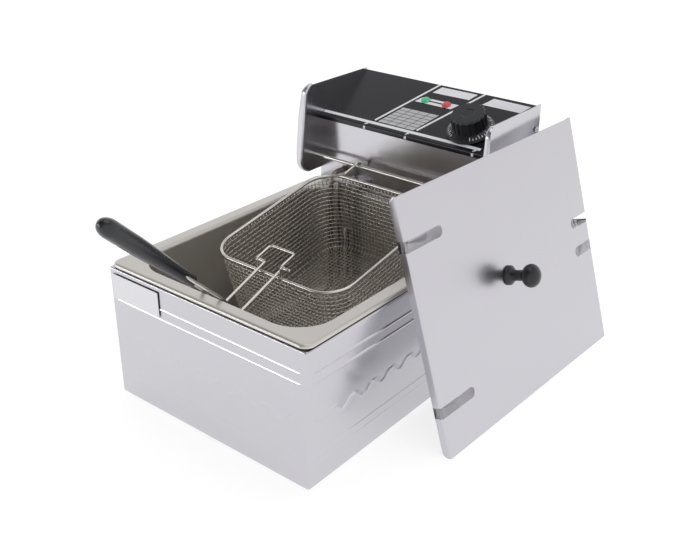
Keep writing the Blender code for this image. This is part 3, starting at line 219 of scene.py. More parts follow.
class FryerFinishSettings(PropertyGroup):
    """Colours of the finishes."""
    steel: colour("Steel", "Satin stainless sheet", (0.600, 0.592, 0.625))
    tank: colour("Tank", "Drawn stainless of the tank", (0.520, 0.500, 0.480))
    wire: colour("Wire", "Bright wire", (0.720, 0.690, 0.650))
    mesh: colour("Mesh", "Wire of the basket mesh", (0.780, 0.730, 0.660))
    film: colour("Film", "Smooth film on the panel", (0.008, 0.0085, 0.014))
    plastic: colour("Plastic", "Dark moulded plastic", (0.010, 0.011, 0.014))
    print_white: colour("Print", "Pale print on the panel", (0.93, 0.93, 0.97))


# ---------------------------------------------------------------- shapes as arrays
def unit(vectors):
    """Each vector divided by its own length."""
    return vectors / np.linalg.norm(vectors, axis=-1, keepdims=True)


def grid_faces(rows, columns, wrap_rows=False, wrap_columns=False):
    """Quads of a rows by columns grid, numbered row by row; a wrap joins the last line to the first."""
    r = np.arange(rows if wrap_rows else rows - 1)[:, None]
    c = np.arange(columns if wrap_columns else columns - 1)[None, :]
    r_next, c_next = (r + 1) % rows, (c + 1) % columns
    corners = (r * columns + c, r * columns + c_next, r_next * columns + c_next,
               r_next * columns + c)
    return np.stack(corners, axis=-1).reshape(-1, 4)


def rounded_path(points, radius, steps=8, closed=False):
    """A polyline whose corners are arcs tangent to both sides.

    An arc's centre lies on the corner's bisector at radius / sin(half angle), and its arms turn
    evenly from one side's foot to the other's.
    """
    points = np.asarray(points, float)
    count = len(points)
    radii = radius if isinstance(radius, (list, tuple)) else [radius] * count
    share = np.linspace(0, 1, steps + 1)[:, None]
    runs = []
    for i, corner in enumerate(points):
        if (not closed and i in (0, count - 1)) or radii[i] <= 0:
            runs.append(corner[None])
            continue
        before, after = unit(points[i - 1] - corner), unit(points[(i + 1) % count] - corner)
        half = math.acos(max(-1.0, min(1.0, float(before @ after)))) / 2
        centre = corner + unit(before + after) * radii[i] / math.sin(half)
        start = corner + before * radii[i] / math.tan(half) - centre
        end = corner + after * radii[i] / math.tan(half) - centre
        sweep = math.pi - 2 * half
        arms = (start * np.sin((1 - share) * sweep) + end * np.sin(share * sweep)) / math.sin(sweep)
        runs.append(centre + arms)
    return np.concatenate(runs)


def tube(path, radius, sides=12, closed=False):
    """A round tube: path + r (cos a n + sin a b), with n across the path and b = path x n."""
    path = np.asarray(path, float)
    if closed:
        ahead = unit(np.roll(path, -1, 0) - np.roll(path, 1, 0))
    else:
        ahead = unit(np.gradient(path, axis=0))
    across = unit(np.cross(ahead, (0.31, 0.52, 0.795)))
    other = np.cross(ahead, across)
    angle = np.linspace(0, 2 * math.pi, sides, endpoint=False)[None, :, None]
    reach = np.broadcast_to(radius, len(path))[:, None, None]
    points = path[:, None] + reach * (np.cos(angle) * across[:, None] + np.sin(angle) * other[:, None])
    faces = grid_faces(len(path), sides, closed, True).tolist()
    if not closed:
        last = (len(path) - 1) * sides
        faces += [list(range(sides))[::-1], [last + k for k in range(sides)]]
    return points.reshape(-1, 3), faces


def round_ended(path, radius):
    """The path and its radii with both ends closed in a quarter circle: r sin f at r (1 - cos f)."""
    path = np.asarray(path, float)
    turn = np.radians((14, 36, 62))[:, None]
    first, last = unit(path[1] - path[0]), unit(path[-2] - path[-1])
    head = path[0] + first * radius * (1 - np.cos(turn))
    tail = path[-1] + last * radius * (1 - np.cos(turn[::-1]))
    full = np.vstack([head, path[0] + first * radius, path[1:-1], path[-1] + last * radius, tail])
    narrow = radius * np.sin(turn[:, 0])
    return full, np.concatenate([narrow, np.full(len(path), radius), narrow[::-1]])


def join(pieces):
    """Several (points, faces) as one."""
    points, faces, start = [], [], 0
    for some, loops in pieces:
        points.append(np.asarray(some, float))
        faces += [[start + k for k in loop] for loop in loops]
        start += len(some)
    return np.concatenate(points), faces


def outline(width, depth, corner, side_steps=(1, 1), corner_steps=12):
    """A rounded rectangle, anticlockwise, as points and outward normals.

    Each corner is a quarter circle about its own centre; each side runs straight to the next one.
    """
    signs = np.array(((1, 1), (-1, 1), (-1, -1), (1, -1)))
    centres = signs * (width / 2 - corner, depth / 2 - corner)
    points, normals = [], []
    for quarter in range(4):
        angle = (quarter + np.linspace(0, 1, corner_steps + 1)) * math.pi / 2
        arm = np.stack((np.cos(angle), np.sin(angle)), axis=1)
        arc = centres[quarter] + corner * arm
        after = (quarter + 1) % 4
        begin = centres[after] + corner * arm[-1]
        share = (np.arange(1, side_steps[quarter % 2]) / side_steps[quarter % 2])[:, None]
        points += [arc, arc[-1] * (1 - share) + begin * share]
        normals += [arm, np.repeat(arm[-1:], len(share), 0)]
    return np.concatenate(points), np.concatenate(normals)


def turned(profile, steps=64):
    """A turned solid from (radius, height) points that run from the axis to the axis, top first."""
    profile = np.asarray(profile, float)
    angle = np.linspace(0, 2 * math.pi, steps, endpoint=False)
    middle = profile[1:-1]
    ring = np.stack((np.cos(angle), np.sin(angle)), axis=1)
    around = middle[:, None, :1] * ring[None]
    heights = np.broadcast_to(middle[:, None, 1:], (len(middle), steps, 1))
    points = np.concatenate((around, heights), axis=2).reshape(-1, 3)
    faces = grid_faces(len(middle), steps, False, True)[:, ::-1].tolist()
    last = (len(middle) - 1) * steps
    faces += [list(range(steps)), [last + k for k in range(steps)][::-1]]
    return points, faces


def into(points, place, across, along, up):
    """Local (a, b, c) points as place + a across + b along + c up."""
    return np.asarray(place) + np.asarray(points) @ np.array((across, along, up))


def bevelled(profile, radius, steps=4):
    """A (radius, height) profile whose inner corners are rounded."""
    flat = [(*p, 0.0) for p in profile]
    return rounded_path(flat, [0] + [radius] * (len(flat) - 2) + [0], steps)[:, :2]


# ---------------------------------------------------------------- places on the object
def panel_axes():
    """Unit vectors across, up the slope and out of the control panel."""
    c, s = math.cos(PANEL_SLOPE), math.sin(PANEL_SLOPE)
    return np.array((1.0, 0, 0)), np.array((0, c, s)), np.array((0, -s, c))


def panel_point(u, v, rise=0.0):
    """A point of the panel: u across, v up the slope, and its height above the face."""
    across, slope, out = panel_axes()
    return np.array((0, HEAD_FRONT_Y, FACE_TOP_Z)) + across * u + slope * v + out * rise


def basket_point(points):
    """Points of the basket's own tilted frame in the building frame."""
    c, s = math.cos(BASKET_TILT), math.sin(BASKET_TILT)
    return into(points, (0, BASKET_Y, BASKET_Z), (1, 0, 0), (0, c, s), (0, -s, c))


def lid_axes(lid):
    """The lid's near lower corner, and unit vectors along its foot, up its face and out of it."""
    along = np.array((math.sin(lid.yaw), math.cos(lid.yaw), 0))
    out = np.array((math.cos(lid.yaw), -math.sin(lid.yaw), 0))
    c, s = math.cos(lid.lean), math.sin(lid.lean)
    up = np.array((0, 0, c)) - out * s
    foot_x = CHEEK_X + 0.008 + 0.0008 + lid.height * s + SHEET * c
    foot_z = lid.corner * (1 - c) + (lid.flange - lid.corner) * s
    corner = np.array((foot_x, 0.3036, foot_z)) - along * lid.length / 2
    return corner, along, up, np.cross(along, up)


# ---------------------------------------------------------------- making pieces
def make_piece(name, shape, material, body, stands_for=(), smooth=True):
    """A mesh object from (points, faces) in the building frame, riding on a body."""
    points, faces = shape
    mesh = bpy.data.meshes.new(name)
    mesh.from_pydata((np.asarray(points, float) + ORIGIN).tolist(), [], [list(f) for f in faces])
    mesh.polygons.foreach_set("use_smooth", [smooth] * len(mesh.polygons))
    mesh.materials.append(material)
    item = bpy.data.objects.new(name, mesh)
    bpy.context.scene.collection.objects.link(item)
    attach(item, body)
    if stands_for:
        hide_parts(*stands_for)
    return item


def thicken(item, thickness, offset):
    """Gives a sheet its thickness."""
    wall = item.modifiers.new("sheet", "SOLIDIFY")
    wall.thickness = thickness
    wall.offset = offset
    wall.use_even_offset = True


def even_normals(item):
    """Keeps flat areas flat beside small roundings."""
    item.modifiers.new("even", "WEIGHTED_NORMAL").weight = 90


def box_between(low, high):
    """A block as (points, faces), given two corners in any frame."""
    (a, b, c), (d, e, f) = low, high
    points = [(a, b, c), (d, b, c), (d, e, c), (a, e, c), (a, b, f), (d, b, f), (d, e, f), (a, e, f)]
    faces = [(3, 2, 1, 0), (4, 5, 6, 7), (0, 1, 5, 4), (1, 2, 6, 5), (2, 3, 7, 6), (3, 0, 4, 7)]
    return np.array(points, float), [list(loop) for loop in faces]


# ---------------------------------------------------------------- shader parts
def add(tree, kind, values=None, **settings):
    """A node with its settings, and its sockets set to values or linked to other sockets."""
    item = tree.nodes.new(kind)
    for key, value in settings.items():
        setattr(item, key, value)
    for key, value in (values or {}).items():
        if isinstance(value, bpy.types.NodeSocket):
            tree.links.new(value, item.inputs[key])
        else:
            item.inputs[key].default_value = value
    return item


def grain_group():
    """Fine streaks and soft clouds: noise read through stretched and through even coordinates."""
    group = bpy.data.node_groups.get("sheet_grain")
    if group:
        return group
    group = bpy.data.node_groups.new("sheet_grain", "ShaderNodeTree")
    for name, kind, way in (("Coordinates", "Vector", "INPUT"), ("Stretch", "Vector", "INPUT"),
                            ("Cloud Scale", "Float", "INPUT"), ("Grain", "Float", "OUTPUT"),
                            ("Cloud", "Float", "OUTPUT")):
        group.interface.new_socket(name, in_out=way, socket_type="NodeSocket" + kind)
    given, result = add(group, "NodeGroupInput"), add(group, "NodeGroupOutput")
    stretched = add(group, "ShaderNodeVectorMath",
                    {0: given.outputs["Coordinates"], 1: given.outputs["Stretch"]},
                    operation="MULTIPLY")
    streaks = add(group, "ShaderNodeTexNoise",
                  {"Vector": stretched.outputs[0], "Scale": 1.0, "Detail": 3.0, "Roughness": 0.6})
    clouds = add(group, "ShaderNodeTexNoise",
                 {"Vector": given.outputs["Coordinates"], "Scale": given.outputs["Cloud Scale"],
                  "Detail": 4.0, "Roughness": 0.55})
    group.links.new(streaks.outputs["Fac"], result.inputs["Grain"])
    group.links.new(clouds.outputs["Fac"], result.inputs["Cloud"])
    return group


def finish(name, base, dark, roughness, spread, stretch, cloud_scale, bump, metallic=0.0, coat=0.0,
           coat_roughness=0.1):
    """A material whose colour and roughness drift with soft clouds and whose bump is fine grain."""
    material = bpy.data.materials.get(name)
    if material:
        return material
    material = bpy.data.materials.new(name)
    material.use_nodes = True
    tree = material.node_tree
    shader = tree.nodes["Principled BSDF"]
    shader.inputs["Metallic"].default_value = metallic
    shader.inputs["Coat Weight"].default_value = coat
    shader.inputs["Coat Roughness"].default_value = coat_roughness
    place = add(tree, "ShaderNodeTexCoord")
    grain = add(tree, "ShaderNodeGroup", node_tree=grain_group())
    tree.links.new(place.outputs["Object"], grain.inputs["Coordinates"])
    grain.inputs["Stretch"].default_value = stretch
    grain.inputs["Cloud Scale"].default_value = cloud_scale
    tint = add(tree, "ShaderNodeMix", {"Factor": grain.outputs["Cloud"], "A": (*dark, 1),
                                       "B": (*base, 1)}, data_type="RGBA")
    # the colour sockets of a Mix node are its seventh and eighth
    tint.inputs[6].default_value, tint.inputs[7].default_value = (*dark, 1), (*base, 1)
    rough = add(tree, "ShaderNodeMapRange",
                {"Value": grain.outputs["Cloud"], "From Min": 0.3, "From Max": 0.7,
                 "To Min": roughness - spread, "To Max": roughness + spread})
    raised = add(tree, "ShaderNodeBump",
                 {"Height": grain.outputs["Grain"], "Strength": bump, "Distance": 0.0002})
    tree.links.new(tint.outputs[2], shader.inputs["Base Color"])
    tree.links.new(rough.outputs["Result"], shader.inputs["Roughness"])
    tree.links.new(raised.outputs["Normal"], shader.inputs["Normal"])
    return material


def shade(base, factor):
    return tuple(channel * factor for channel in base)


def material_of(kind):
    """The material of one finish, made when it is first asked for."""
    tones = bpy.context.scene.fryer_finish
    steel, tank = tuple(tones.steel), tuple(tones.tank)
    wire, mesh, film = tuple(tones.wire), tuple(tones.mesh), tuple(tones.film)
    plastic, white = tuple(tones.plastic), tuple(tones.print_white)
    recipes = {
        "satin_steel": (steel, shade(steel, 0.95), 0.19, 0.04, (60, 60, 2500), 14, 0.10, 1.0),
        "lid_steel": (steel, shade(steel, 0.96), 0.30, 0.03, (2500, 60, 60), 10, 0.10, 1.0),
        "tank_steel": (tank, shade(tank, 0.90), 0.30, 0.05, (900, 900, 300), 18, 0.10, 1.0),
        "bright_wire": (wire, shade(wire, 0.88), 0.20, 0.05, (700, 700, 700), 60, 0.10, 1.0),
        "mesh_wire": (mesh, shade(mesh, 0.80), 0.28, 0.06, (700, 700, 700), 90, 0.10, 1.0),
        "element_metal": ((0.34, 0.29, 0.25), (0.22, 0.19, 0.17), 0.38, 0.08, (500, 500, 500), 40,
                          0.25, 1.0),
        "badge_metal": ((0.50, 0.49, 0.51), (0.44, 0.43, 0.46), 0.36, 0.04, (3000, 80, 80), 30, 0.2,
                        1.0),
        "brass_fitting": ((0.55, 0.42, 0.20), (0.42, 0.31, 0.15), 0.35, 0.08, (700, 700, 700), 60,
                          0.2, 1.0),
        "panel_film": (film, shade(film, 0.85), 0.24, 0.04, (1800, 1800, 1800), 20, 0.06),
        "pale_print": (white, shade(white, 0.94), 0.42, 0.04, (2500, 2500, 2500), 80, 0.10),
        "grey_print": ((0.66, 0.66, 0.67), (0.46, 0.46, 0.47), 0.45, 0.04, (2500, 2500, 2500), 600,
                       0.10),
        "dark_plastic": (plastic, shade(plastic, 0.8), 0.34, 0.06, (2600, 2600, 2600), 60, 0.22),
        "grip_plastic": (plastic, shade(plastic, 0.8), 0.26, 0.06, (1500, 1500, 1500), 50, 0.16, 0.0,
                         0.25, 0.2),
        "pale_plastic": ((0.70, 0.68, 0.62), (0.62, 0.60, 0.55), 0.45, 0.05, (1500, 1500, 1500), 50,
                         0.15),
        "foot_rubber": ((0.03, 0.03, 0.03), (0.02, 0.02, 0.02), 0.75, 0.08, (1800, 1800, 1800), 70,
                        0.4),
        "green_lens": ((0.010, 0.300, 0.150), (0.005, 0.160, 0.080), 0.12, 0.03, (900, 900, 900), 700,
                       0.30, 0.0, 1.0, 0.04),
        "red_lens": ((0.420, 0.012, 0.020), (0.220, 0.004, 0.008), 0.12, 0.03, (900, 900, 900), 700,
                     0.30, 0.0, 1.0, 0.04),
    }
    return finish(kind, *recipes[kind])


# ---------------------------------------------------------------- body
def emboss(points, normals, heights, sizes):
    """How far the wall stands out at each perimeter point and height.

    A line's rise is a raised cosine of the distance from its middle. The wave's middle is a sine of
    the distance along the wall. Every rise fades to nothing at the corners.
    """
    along = np.where(np.abs(normals[:, 1]) > 0.5, points[:, 0] + WIDTH / 2, points[:, 1] + DEPTH / 2)
    span = np.where(np.abs(normals[:, 1]) > 0.5, WIDTH, DEPTH)
    fade = np.clip((np.minimum(along, span - along) - 0.004) / 0.006, 0, 1)
    fade = (fade * fade * (3 - 2 * fade))[None, :]
    z = heights[:, None]
    turn = 2 * math.pi / sizes.wave_pitch
    swing = sizes.wave_height / 2
    wave = sizes.wave_z + swing * np.sin(turn * along)[None, :]
    steep = np.sqrt(1 + (swing * turn * np.cos(turn * along)) ** 2)[None, :]
    half = sizes.line_width / 2
    rise = np.zeros((len(heights), len(points)))
    for middle, slope, share in ((sizes.upper_line, 1, 1.0), (sizes.lower_line, 1, 1.0),
                                 (sizes.foot_line, 1, 0.5), (sizes.foot_line_low, 1, 0.5),
                                 (wave, steep, 1.0)):
        away = np.clip(np.abs(z - middle) / slope / half, 0, 1)
        rise += share * (0.5 + 0.5 * np.cos(math.pi * away))
    return np.clip(rise, 0, 1) * fade * sizes.line_rise


def wall_heights(low, high):
    """Levels of the wall's outer face, close together where it is embossed."""
    fine = [np.arange(0.026, 0.049, 0.0008), np.arange(0.071, 0.088, 0.0007),
            np.arange(0.119, 0.1405, 0.0006)]
    plain = [np.linspace(low, 0.025, 4), np.linspace(0.05, 0.07, 4), np.linspace(0.089, 0.118, 5),
             np.linspace(0.1415, high, 4)]
    return np.unique(np.concatenate(fine + plain))


def body_shell_shape(sizes):
    """The wall is one loop of (inset, height) carried round the rounded outline.

    The loop runs up the embossed outer face, over the shoulder, up to the tank's seat, back down
    the inside and under the inward fold at the bottom.
    """
    low, lean, fold, corner = SHELL_LOW_Z, sizes.line_rise, SHELL_FOLD, SHELL_CORNER
    turn = np.radians(np.linspace(0, 90, 5))
    foot = np.stack((lean + fold * (1 - np.sin(turn)), low + fold * (1 - np.cos(turn))), axis=1)
    shoulder = np.stack((lean + fold * (1 - np.cos(turn)), SHOULDER_Z - fold * (1 - np.sin(turn))), 1)
    faces_z = wall_heights(low + fold, SHOULDER_Z - fold)[1:-1]
    outer = np.stack((np.full(len(faces_z), lean), faces_z), axis=1)
    rest = [(0.0085, SHOULDER_Z), (0.0085, SEAT_Z), (0.0125, SEAT_Z), (0.0125, SEAT_Z - SHEET),
            (0.0095, SEAT_Z - SHEET), (0.0095, SHOULDER_Z - SHEET), (0.0022, SHOULDER_Z - SHEET),
            (0.0022, low + SHEET), (0.0110, low + SHEET), (0.0110, low)]
    rows = np.vstack([foot, outer, shoulder, rest])
    steps = (100, 124)
    flat, normals = outline(WIDTH, DEPTH, corner, steps, 8)
    rise = emboss(flat, normals, rows[:, 1], sizes)
    is_outer = np.zeros(len(rows))
    is_outer[len(foot):len(foot) + len(outer)] = 1
    inset = rows[:, :1] - rise * is_outer[:, None]
    core = flat - normals * corner
    reach = np.maximum(corner - inset, 0.0012)
    spare = np.maximum(inset - (corner - 0.0012), 0)
    pull = np.sign(core) * spare[..., None]
    ring = core[None] - pull + normals[None] * reach[..., None]
    z = np.broadcast_to(rows[:, 1][:, None, None], (*ring.shape[:2], 1))
    points = np.concatenate((ring, z), axis=2).reshape(-1, 3)
    points[:, 1] += DEPTH / 2
    return points, grid_faces(len(rows), len(flat), True, True).tolist()


class FRYER_OT_body(Operator):
    """Make the embossed body shell"""
    bl_idname = "fryer.body"
    bl_label = "Body"

    def execute(self, context):
        shell = make_piece("shell_embossed", body_shell_shape(context.scene.fryer_body),
                           material_of("satin_steel"), "body", ["body_shell"])
        even_normals(shell)
        return {"FINISHED"}


# ---------------------------------------------------------------- tank
def tank_shape(sizes):
    """The drawn pan: a profile of (width, length, corner, height) rings from the skirt to the floor."""
    wide, deep = WIDTH - 2 * TANK_INSET, DEPTH - 2 * TANK_INSET
    open_w, open_d = wide - 2 * sizes.rim_side, deep - 2 * TANK_RIM_END
    fold, edge = TANK_FOLD, TANK_EDGE_CORNER
    rings = [(wide, deep, edge, SHOULDER_Z + 0.0015)]
    for turn in np.radians(np.linspace(0, 90, 8)):
        inset = fold * (1 - math.cos(turn))
        rings.append((wide - 2 * inset, deep - 2 * inset, edge - inset,
                      RIM_Z - fold * (1 - math.sin(turn))))
    for turn in np.radians(np.linspace(0, 90, 9)):
        inset = TANK_LIP_RADIUS * (1 - math.sin(turn))
        rings.append((open_w + 2 * inset, open_d + 2 * inset, sizes.corner + inset,
                      RIM_Z - TANK_LIP_RADIUS * (1 - math.cos(turn))))
    floor_z = RIM_Z - sizes.depth
    for turn in np.radians(np.linspace(0, 90, 10)):
        shrink = sizes.floor_radius * (1 - math.cos(turn))
        rings.append((open_w - 2 * sizes.taper - 2 * shrink, open_d - 2 * sizes.taper - 2 * shrink,
                      sizes.corner - shrink, floor_z + sizes.floor_radius * (1 - math.sin(turn))))
    loops = []
    for width, depth, corner, z in rings:
        flat, _ = outline(width, depth, corner, (4, 5), 14)
        loops.append(np.column_stack((flat[:, 0], flat[:, 1] + DEPTH / 2, np.full(len(flat), z))))
    count = len(loops[0])
    faces = grid_faces(len(loops), count, False, True).tolist()
    faces.append([(len(loops) - 1) * count + k for k in range(count)])
    return np.concatenate(loops), faces


class FRYER_OT_tank(Operator):
    """Make the lift-out tank"""
    bl_idname = "fryer.tank"
    bl_label = "Tank"

    def execute(self, context):
        sizes = context.scene.fryer_tank
        tank = make_piece("tank_drawn", tank_shape(sizes), material_of("tank_steel"), "tank",
                          ["tank"])
        thicken(tank, sizes.sheet, 1.0)
        even_normals(tank)
        return {"FINISHED"}


# ---------------------------------------------------------------- head
def cheek_shape(side):
    """A flat side plate whose front edge rolls outwards.

    The roll is a quarter circle carried along the edge, then a straight flange; both grow from
    nothing at the ends of the edge as the root of a sine.
    """
    corners = [(HEAD_FRONT_Y, CHEEK_LOW_Z, 0), (CHEEK_FRONT_LOW_Y, CHEEK_LOW_Z, 0),
               (CHEEK_FRONT_TOP_Y, CHEEK_TOP_Z, 0), (HEAD_BACK_Y, CHEEK_TOP_Z, 0)]
    edge = rounded_path(corners, [0, 0.016, 0.012, 0], 12)[1:-1, :2]
    spaced = np.concatenate(([0], np.cumsum(np.linalg.norm(np.diff(edge, axis=0), axis=1))))
    even = np.linspace(0, spaced[-1], 90)
    edge = np.stack([np.interp(even, spaced, edge[:, k]) for k in (0, 1)], axis=1)
    ahead = unit(np.gradient(edge, axis=0))
    inward = np.stack((ahead[:, 1], -ahead[:, 0]), axis=1)
    share = np.linspace(0, 1, len(edge))
    swell = np.minimum(1.0, np.sqrt(np.sin(math.pi * np.clip(share, 0.0005, 0.9995))) * 1.05)
    bend, reach = CHEEK_BEND * swell, CHEEK_REACH * swell
    turn = np.radians(np.linspace(0, 90, 8))[:, None]
    drop = bend * (1 - np.sin(turn))
    x = np.vstack([bend * (1 - np.cos(turn)), (SHEET + reach)[None]])
    drop = np.vstack([drop, np.zeros((1, len(edge)))])
    yz = edge[None] + inward[None] * drop[..., None]
    inner = CHEEK_X - SHEET
    strip = np.concatenate(((side * (inner + x))[..., None], yz), axis=2)
    count = len(edge)
    faces = grid_faces(len(strip), count).tolist()
    back = [(HEAD_BACK_Y, CHEEK_TOP_Z), (HEAD_BACK_Y, REAR_BOX_BOTTOM_Z),
            (REAR_BOX_Y, REAR_BOX_BOTTOM_Z), (REAR_BOX_Y, HEAD_LOW_Z),
            (HEAD_FRONT_Y + GAP, HEAD_LOW_Z), (HEAD_FRONT_Y + GAP, CHEEK_LOW_Z)]
    points = np.vstack([strip.reshape(-1, 3), [(side * inner, y, z) for y, z in back]])
    start = len(strip) * count
    faces.append(list(range(count))[::-1] + [start + k for k in range(len(back))][::-1])
    if side < 0:
        faces = [face[::-1] for face in faces]
    return points, faces


def film_shape():
    """The film's outer face: up the front lip, round the fold and up the slope."""
    rise = GAP + FILM
    c, s = math.cos(PANEL_SLOPE), math.sin(PANEL_SLOPE)
    low = (0, HEAD_FRONT_Y - rise, FACE_TOP_Z - PANEL_LIP)
    fold = (0, HEAD_FRONT_Y - rise, FACE_TOP_Z + rise * (1 - s) / c)
    back = panel_point(0, 0.0988, rise)
    line = rounded_path([low, fold, tuple(back)], [0, 0.0022, 0], 8)
    half = HEAD_INNER_X
    points = np.stack([line + (x, 0, 0) for x in (-half, half)], axis=1).reshape(-1, 3)
    return points, grid_faces(len(line), 2).tolist()


class FRYER_OT_head(Operator):
    """Make the head's rolled cheeks and the film on its panel"""
    bl_idname = "fryer.head"
    bl_label = "Head"

    def execute(self, context):
        for name, side in (("cheek_left", -1), ("cheek_right", 1)):
            cheek = make_piece(name + "_rolled", cheek_shape(side), material_of("satin_steel"),
                               "head", [name])
            thicken(cheek, SHEET, -1.0)
            even_normals(cheek)
        film = make_piece("film_smooth", film_shape(), material_of("panel_film"), "head",
                          ["panel_film"])
        thicken(film, FILM, -1.0)
        even_normals(film)
        return {"FINISHED"}


def printed(corners, rise=PRINT_RISE):
    """A thin printed patch from corners given across and up the panel; below the fold it hangs."""
    points = []
    for lift in (rise, rise + PRINT_THICKNESS):
        for u, v in corners:
            if v >= 0:
                points.append(panel_point(u, v, lift))
            else:
                points.append((u, HEAD_FRONT_Y - lift, FACE_TOP_Z + v))
    count = len(corners)
    faces = [list(range(count))[::-1], list(range(count, 2 * count))]
    faces += [[k, (k + 1) % count, count + (k + 1) % count, count + k] for k in range(count)]
    return np.array(points), faces


def stripe(start, end, width):
    """A printed line between two places on the panel."""
    start, end = np.array(start, float), np.array(end, float)
    side = unit(end - start)[::-1] * (-width / 2, width / 2)
    return printed([start - side, end - side, end + side, start + side])


def panel_print():
    """Rules, dividers, blank label fields and the lamps' field."""
    pieces = [stripe((-0.126, 0.0068), (0.103, 0.0068), 0.0044)]
    for top, foot in (((-10.7, 98.6), (-50.0, 12.0)), ((53.9, 98.6), (11.5, 12.0))):
        pieces.append(stripe(np.array(top) * MM, np.array(foot) * MM, 0.0030))
    for u in (-0.0560, 0.0050, 0.0980):
        pieces.append(stripe((u, 0.0042), (u - 0.0016, 0.0004), 0.0030))
        pieces.append(stripe((u - 0.0018, -0.0006), (u - 0.0018, -0.0042), 0.0030))
    fields = [[(-5.5, 95.0), (-11.4, 82.0), (40.4, 82.9), (45.6, 95.3)],
              [(68.4, 94.6), (60.6, 79.9), (111.9, 79.8), (118.4, 93.8)],
              [(-17.6, 70.3), (-23.5, 60.2), (28.7, 60.2), (34.4, 70.3)]]
    pieces += [printed([(u * MM, v * MM) for u, v in field]) for field in fields]
    return join(pieces)


def panel_table():
    """Grey field of the blank table."""
    corners = ((-30.1, 44.6), (-44.8, 11.1), (7.6, 10.5), (21.8, 45.1))
    return printed([(u * MM, v * MM) for u, v in corners])


def panel_rules():
    """Dark rules of the blank table, and the line that joins the lamps."""
    left = np.array(((-44.8, 11.1), (-30.1, 44.6))) * MM
    right = np.array(((7.6, 10.5), (21.8, 45.1))) * MM
    rule, lamp_rule = 0.0007, 0.0022
    lines = [(left[0] * (1 - share) + left[1] * share, right[0] * (1 - share) + right[1] * share, rule)
             for share in np.linspace(0, 1, 7)[1:-1]]
    lines += [(left[0] * (1 - share) + right[0] * share, left[1] * (1 - share) + right[1] * share, rule)
              for share in (0.25, 0.5, 0.75)]
    lines.append(((LAMP_X[0], LAMP_V), (LAMP_X[1], LAMP_V), lamp_rule))
    points, faces = join([stripe(*line) for line in lines])
    return points + panel_axes()[2] * OVERPRINT, faces


class FRYER_OT_print(Operator):
    """Make the plain print on the panel, with no words"""
    bl_idname = "fryer.print"
    bl_label = "Panel print"

    def execute(self, context):
        for name, shape, kind in (("print_pale", panel_print(), "pale_print"),
                                  ("print_table", panel_table(), "grey_print"),
                                  ("print_rules", panel_rules(), "dark_plastic")):
            make_piece(name, shape, material_of(kind), "head", smooth=False)
        return {"FINISHED"}


# ---------------------------------------------------------------- dial and lamps
def dial_shape(sizes):
    """A fluted grip on a marked skirt.

    On the grip, the radius is multiplied by 1 - depth (1/2 - cos(n angle) / 2)^1.5.
    """
    low = DIAL_FOOT_Z
    top = low + sizes.height
    grip, skirt = sizes.grip, sizes.skirt
    profile = bevelled([(0, top - 0.0006), (0.0070, top - 0.0006), (0.0080, top), (grip - 0.0015, top),
                        (grip, top - 0.0018), (grip + 0.0004, low + 0.0056),
                        (skirt - 0.0020, low + 0.0030), (skirt, low + 0.0012), (skirt, low),
                        (0.0034, low), (0, low)], 0.0004, 3)
    points, faces = turned(profile, 216)
    angle = np.arctan2(points[:, 1], points[:, 0])
    reach = np.hypot(points[:, 0], points[:, 1])
    level = np.clip((points[:, 2] - (low + 0.0045)) / 0.002, 0, 1)
    edge = np.clip((reach - (grip - 0.0030)) / 0.0020, 0, 1)
    carve = 1 - 0.060 * level * edge * (0.5 - 0.5 * np.cos(sizes.flutes * angle)) ** 1.5
    points[:, :2] *= carve[:, None]
    across, slope, out = panel_axes()
    return into(points, panel_point(KNOB_U, KNOB_V), across, slope, out), faces


def dial_marks(sizes):
    """Pale ticks laid on the skirt's cone, every third one longer."""
    low = DIAL_FOOT_Z
    across, slope, out = panel_axes()
    shapes = []
    for k in range(sizes.ticks):
        turn = math.radians(-60 + 300 * k / (sizes.ticks - 1))
        inner = sizes.grip + (0.0020 if k % 3 == 0 else 0.0036)
        outer = sizes.skirt - 0.0022
        points, faces = box_between((inner, -0.00040, 0), (outer, 0.00040, 0.0001))
        fall = (sizes.skirt - 0.0020 - points[:, 0]) / (sizes.skirt - 0.0024 - sizes.grip)
        points[:, 2] += low + 0.0030 + 0.0026 * fall + 0.00004
        c, s = math.cos(turn), math.sin(turn)
        turned_points = points @ np.array(((c, s, 0), (-s, c, 0), (0, 0, 1)))
        shapes.append((into(turned_points, panel_point(KNOB_U, KNOB_V), across, slope, out), faces))
    return join(shapes)


def lens_shape(x):
    """A domed lens: an ellipse of revolution over a short neck."""
    top = 2 * GAP + FILM
    turn = np.radians(np.linspace(88, 0, 10))
    dome = np.stack((0.0056 * np.cos(turn), top + 0.0032 * np.sin(turn)), axis=1)
    profile = np.vstack([[(0, top + 0.0032)], dome, [(0.0042, top), (0.0042, -0.0035), (0, -0.0035)]])
    points, faces = turned(profile, 48)
    return into(points, panel_point(x, LAMP_V), *panel_axes()), faces


class FRYER_OT_dial(Operator):
    """Make the thermostat dial and the two lamps"""
    bl_idname = "fryer.dial"
    bl_label = "Dial and lamps"

    def execute(self, context):
        sizes = context.scene.fryer_dial
        dial = make_piece("dial_fluted", dial_shape(sizes), material_of("dark_plastic"), "knob",
                          ["thermostat_knob"])
        even_normals(dial)
        make_piece("dial_ticks", dial_marks(sizes), material_of("pale_print"), "knob", smooth=False)
        for name, x in zip(("green", "red"), LAMP_X):
            make_piece(f"lens_{name}", lens_shape(x), material_of(f"{name}_lens"), "head",
                       [f"lamp_lens_{name}"])
        return {"FINISHED"}


# ---------------------------------------------------------------- wire work
def rim_path(sizes):
    flat, _ = outline(sizes.width - 2 * RIM_WIRE, sizes.length - 2 * RIM_WIRE,
                      sizes.corner - RIM_WIRE, (6, 6), 14)
    return basket_point(np.column_stack((flat, np.zeros(len(flat)))))


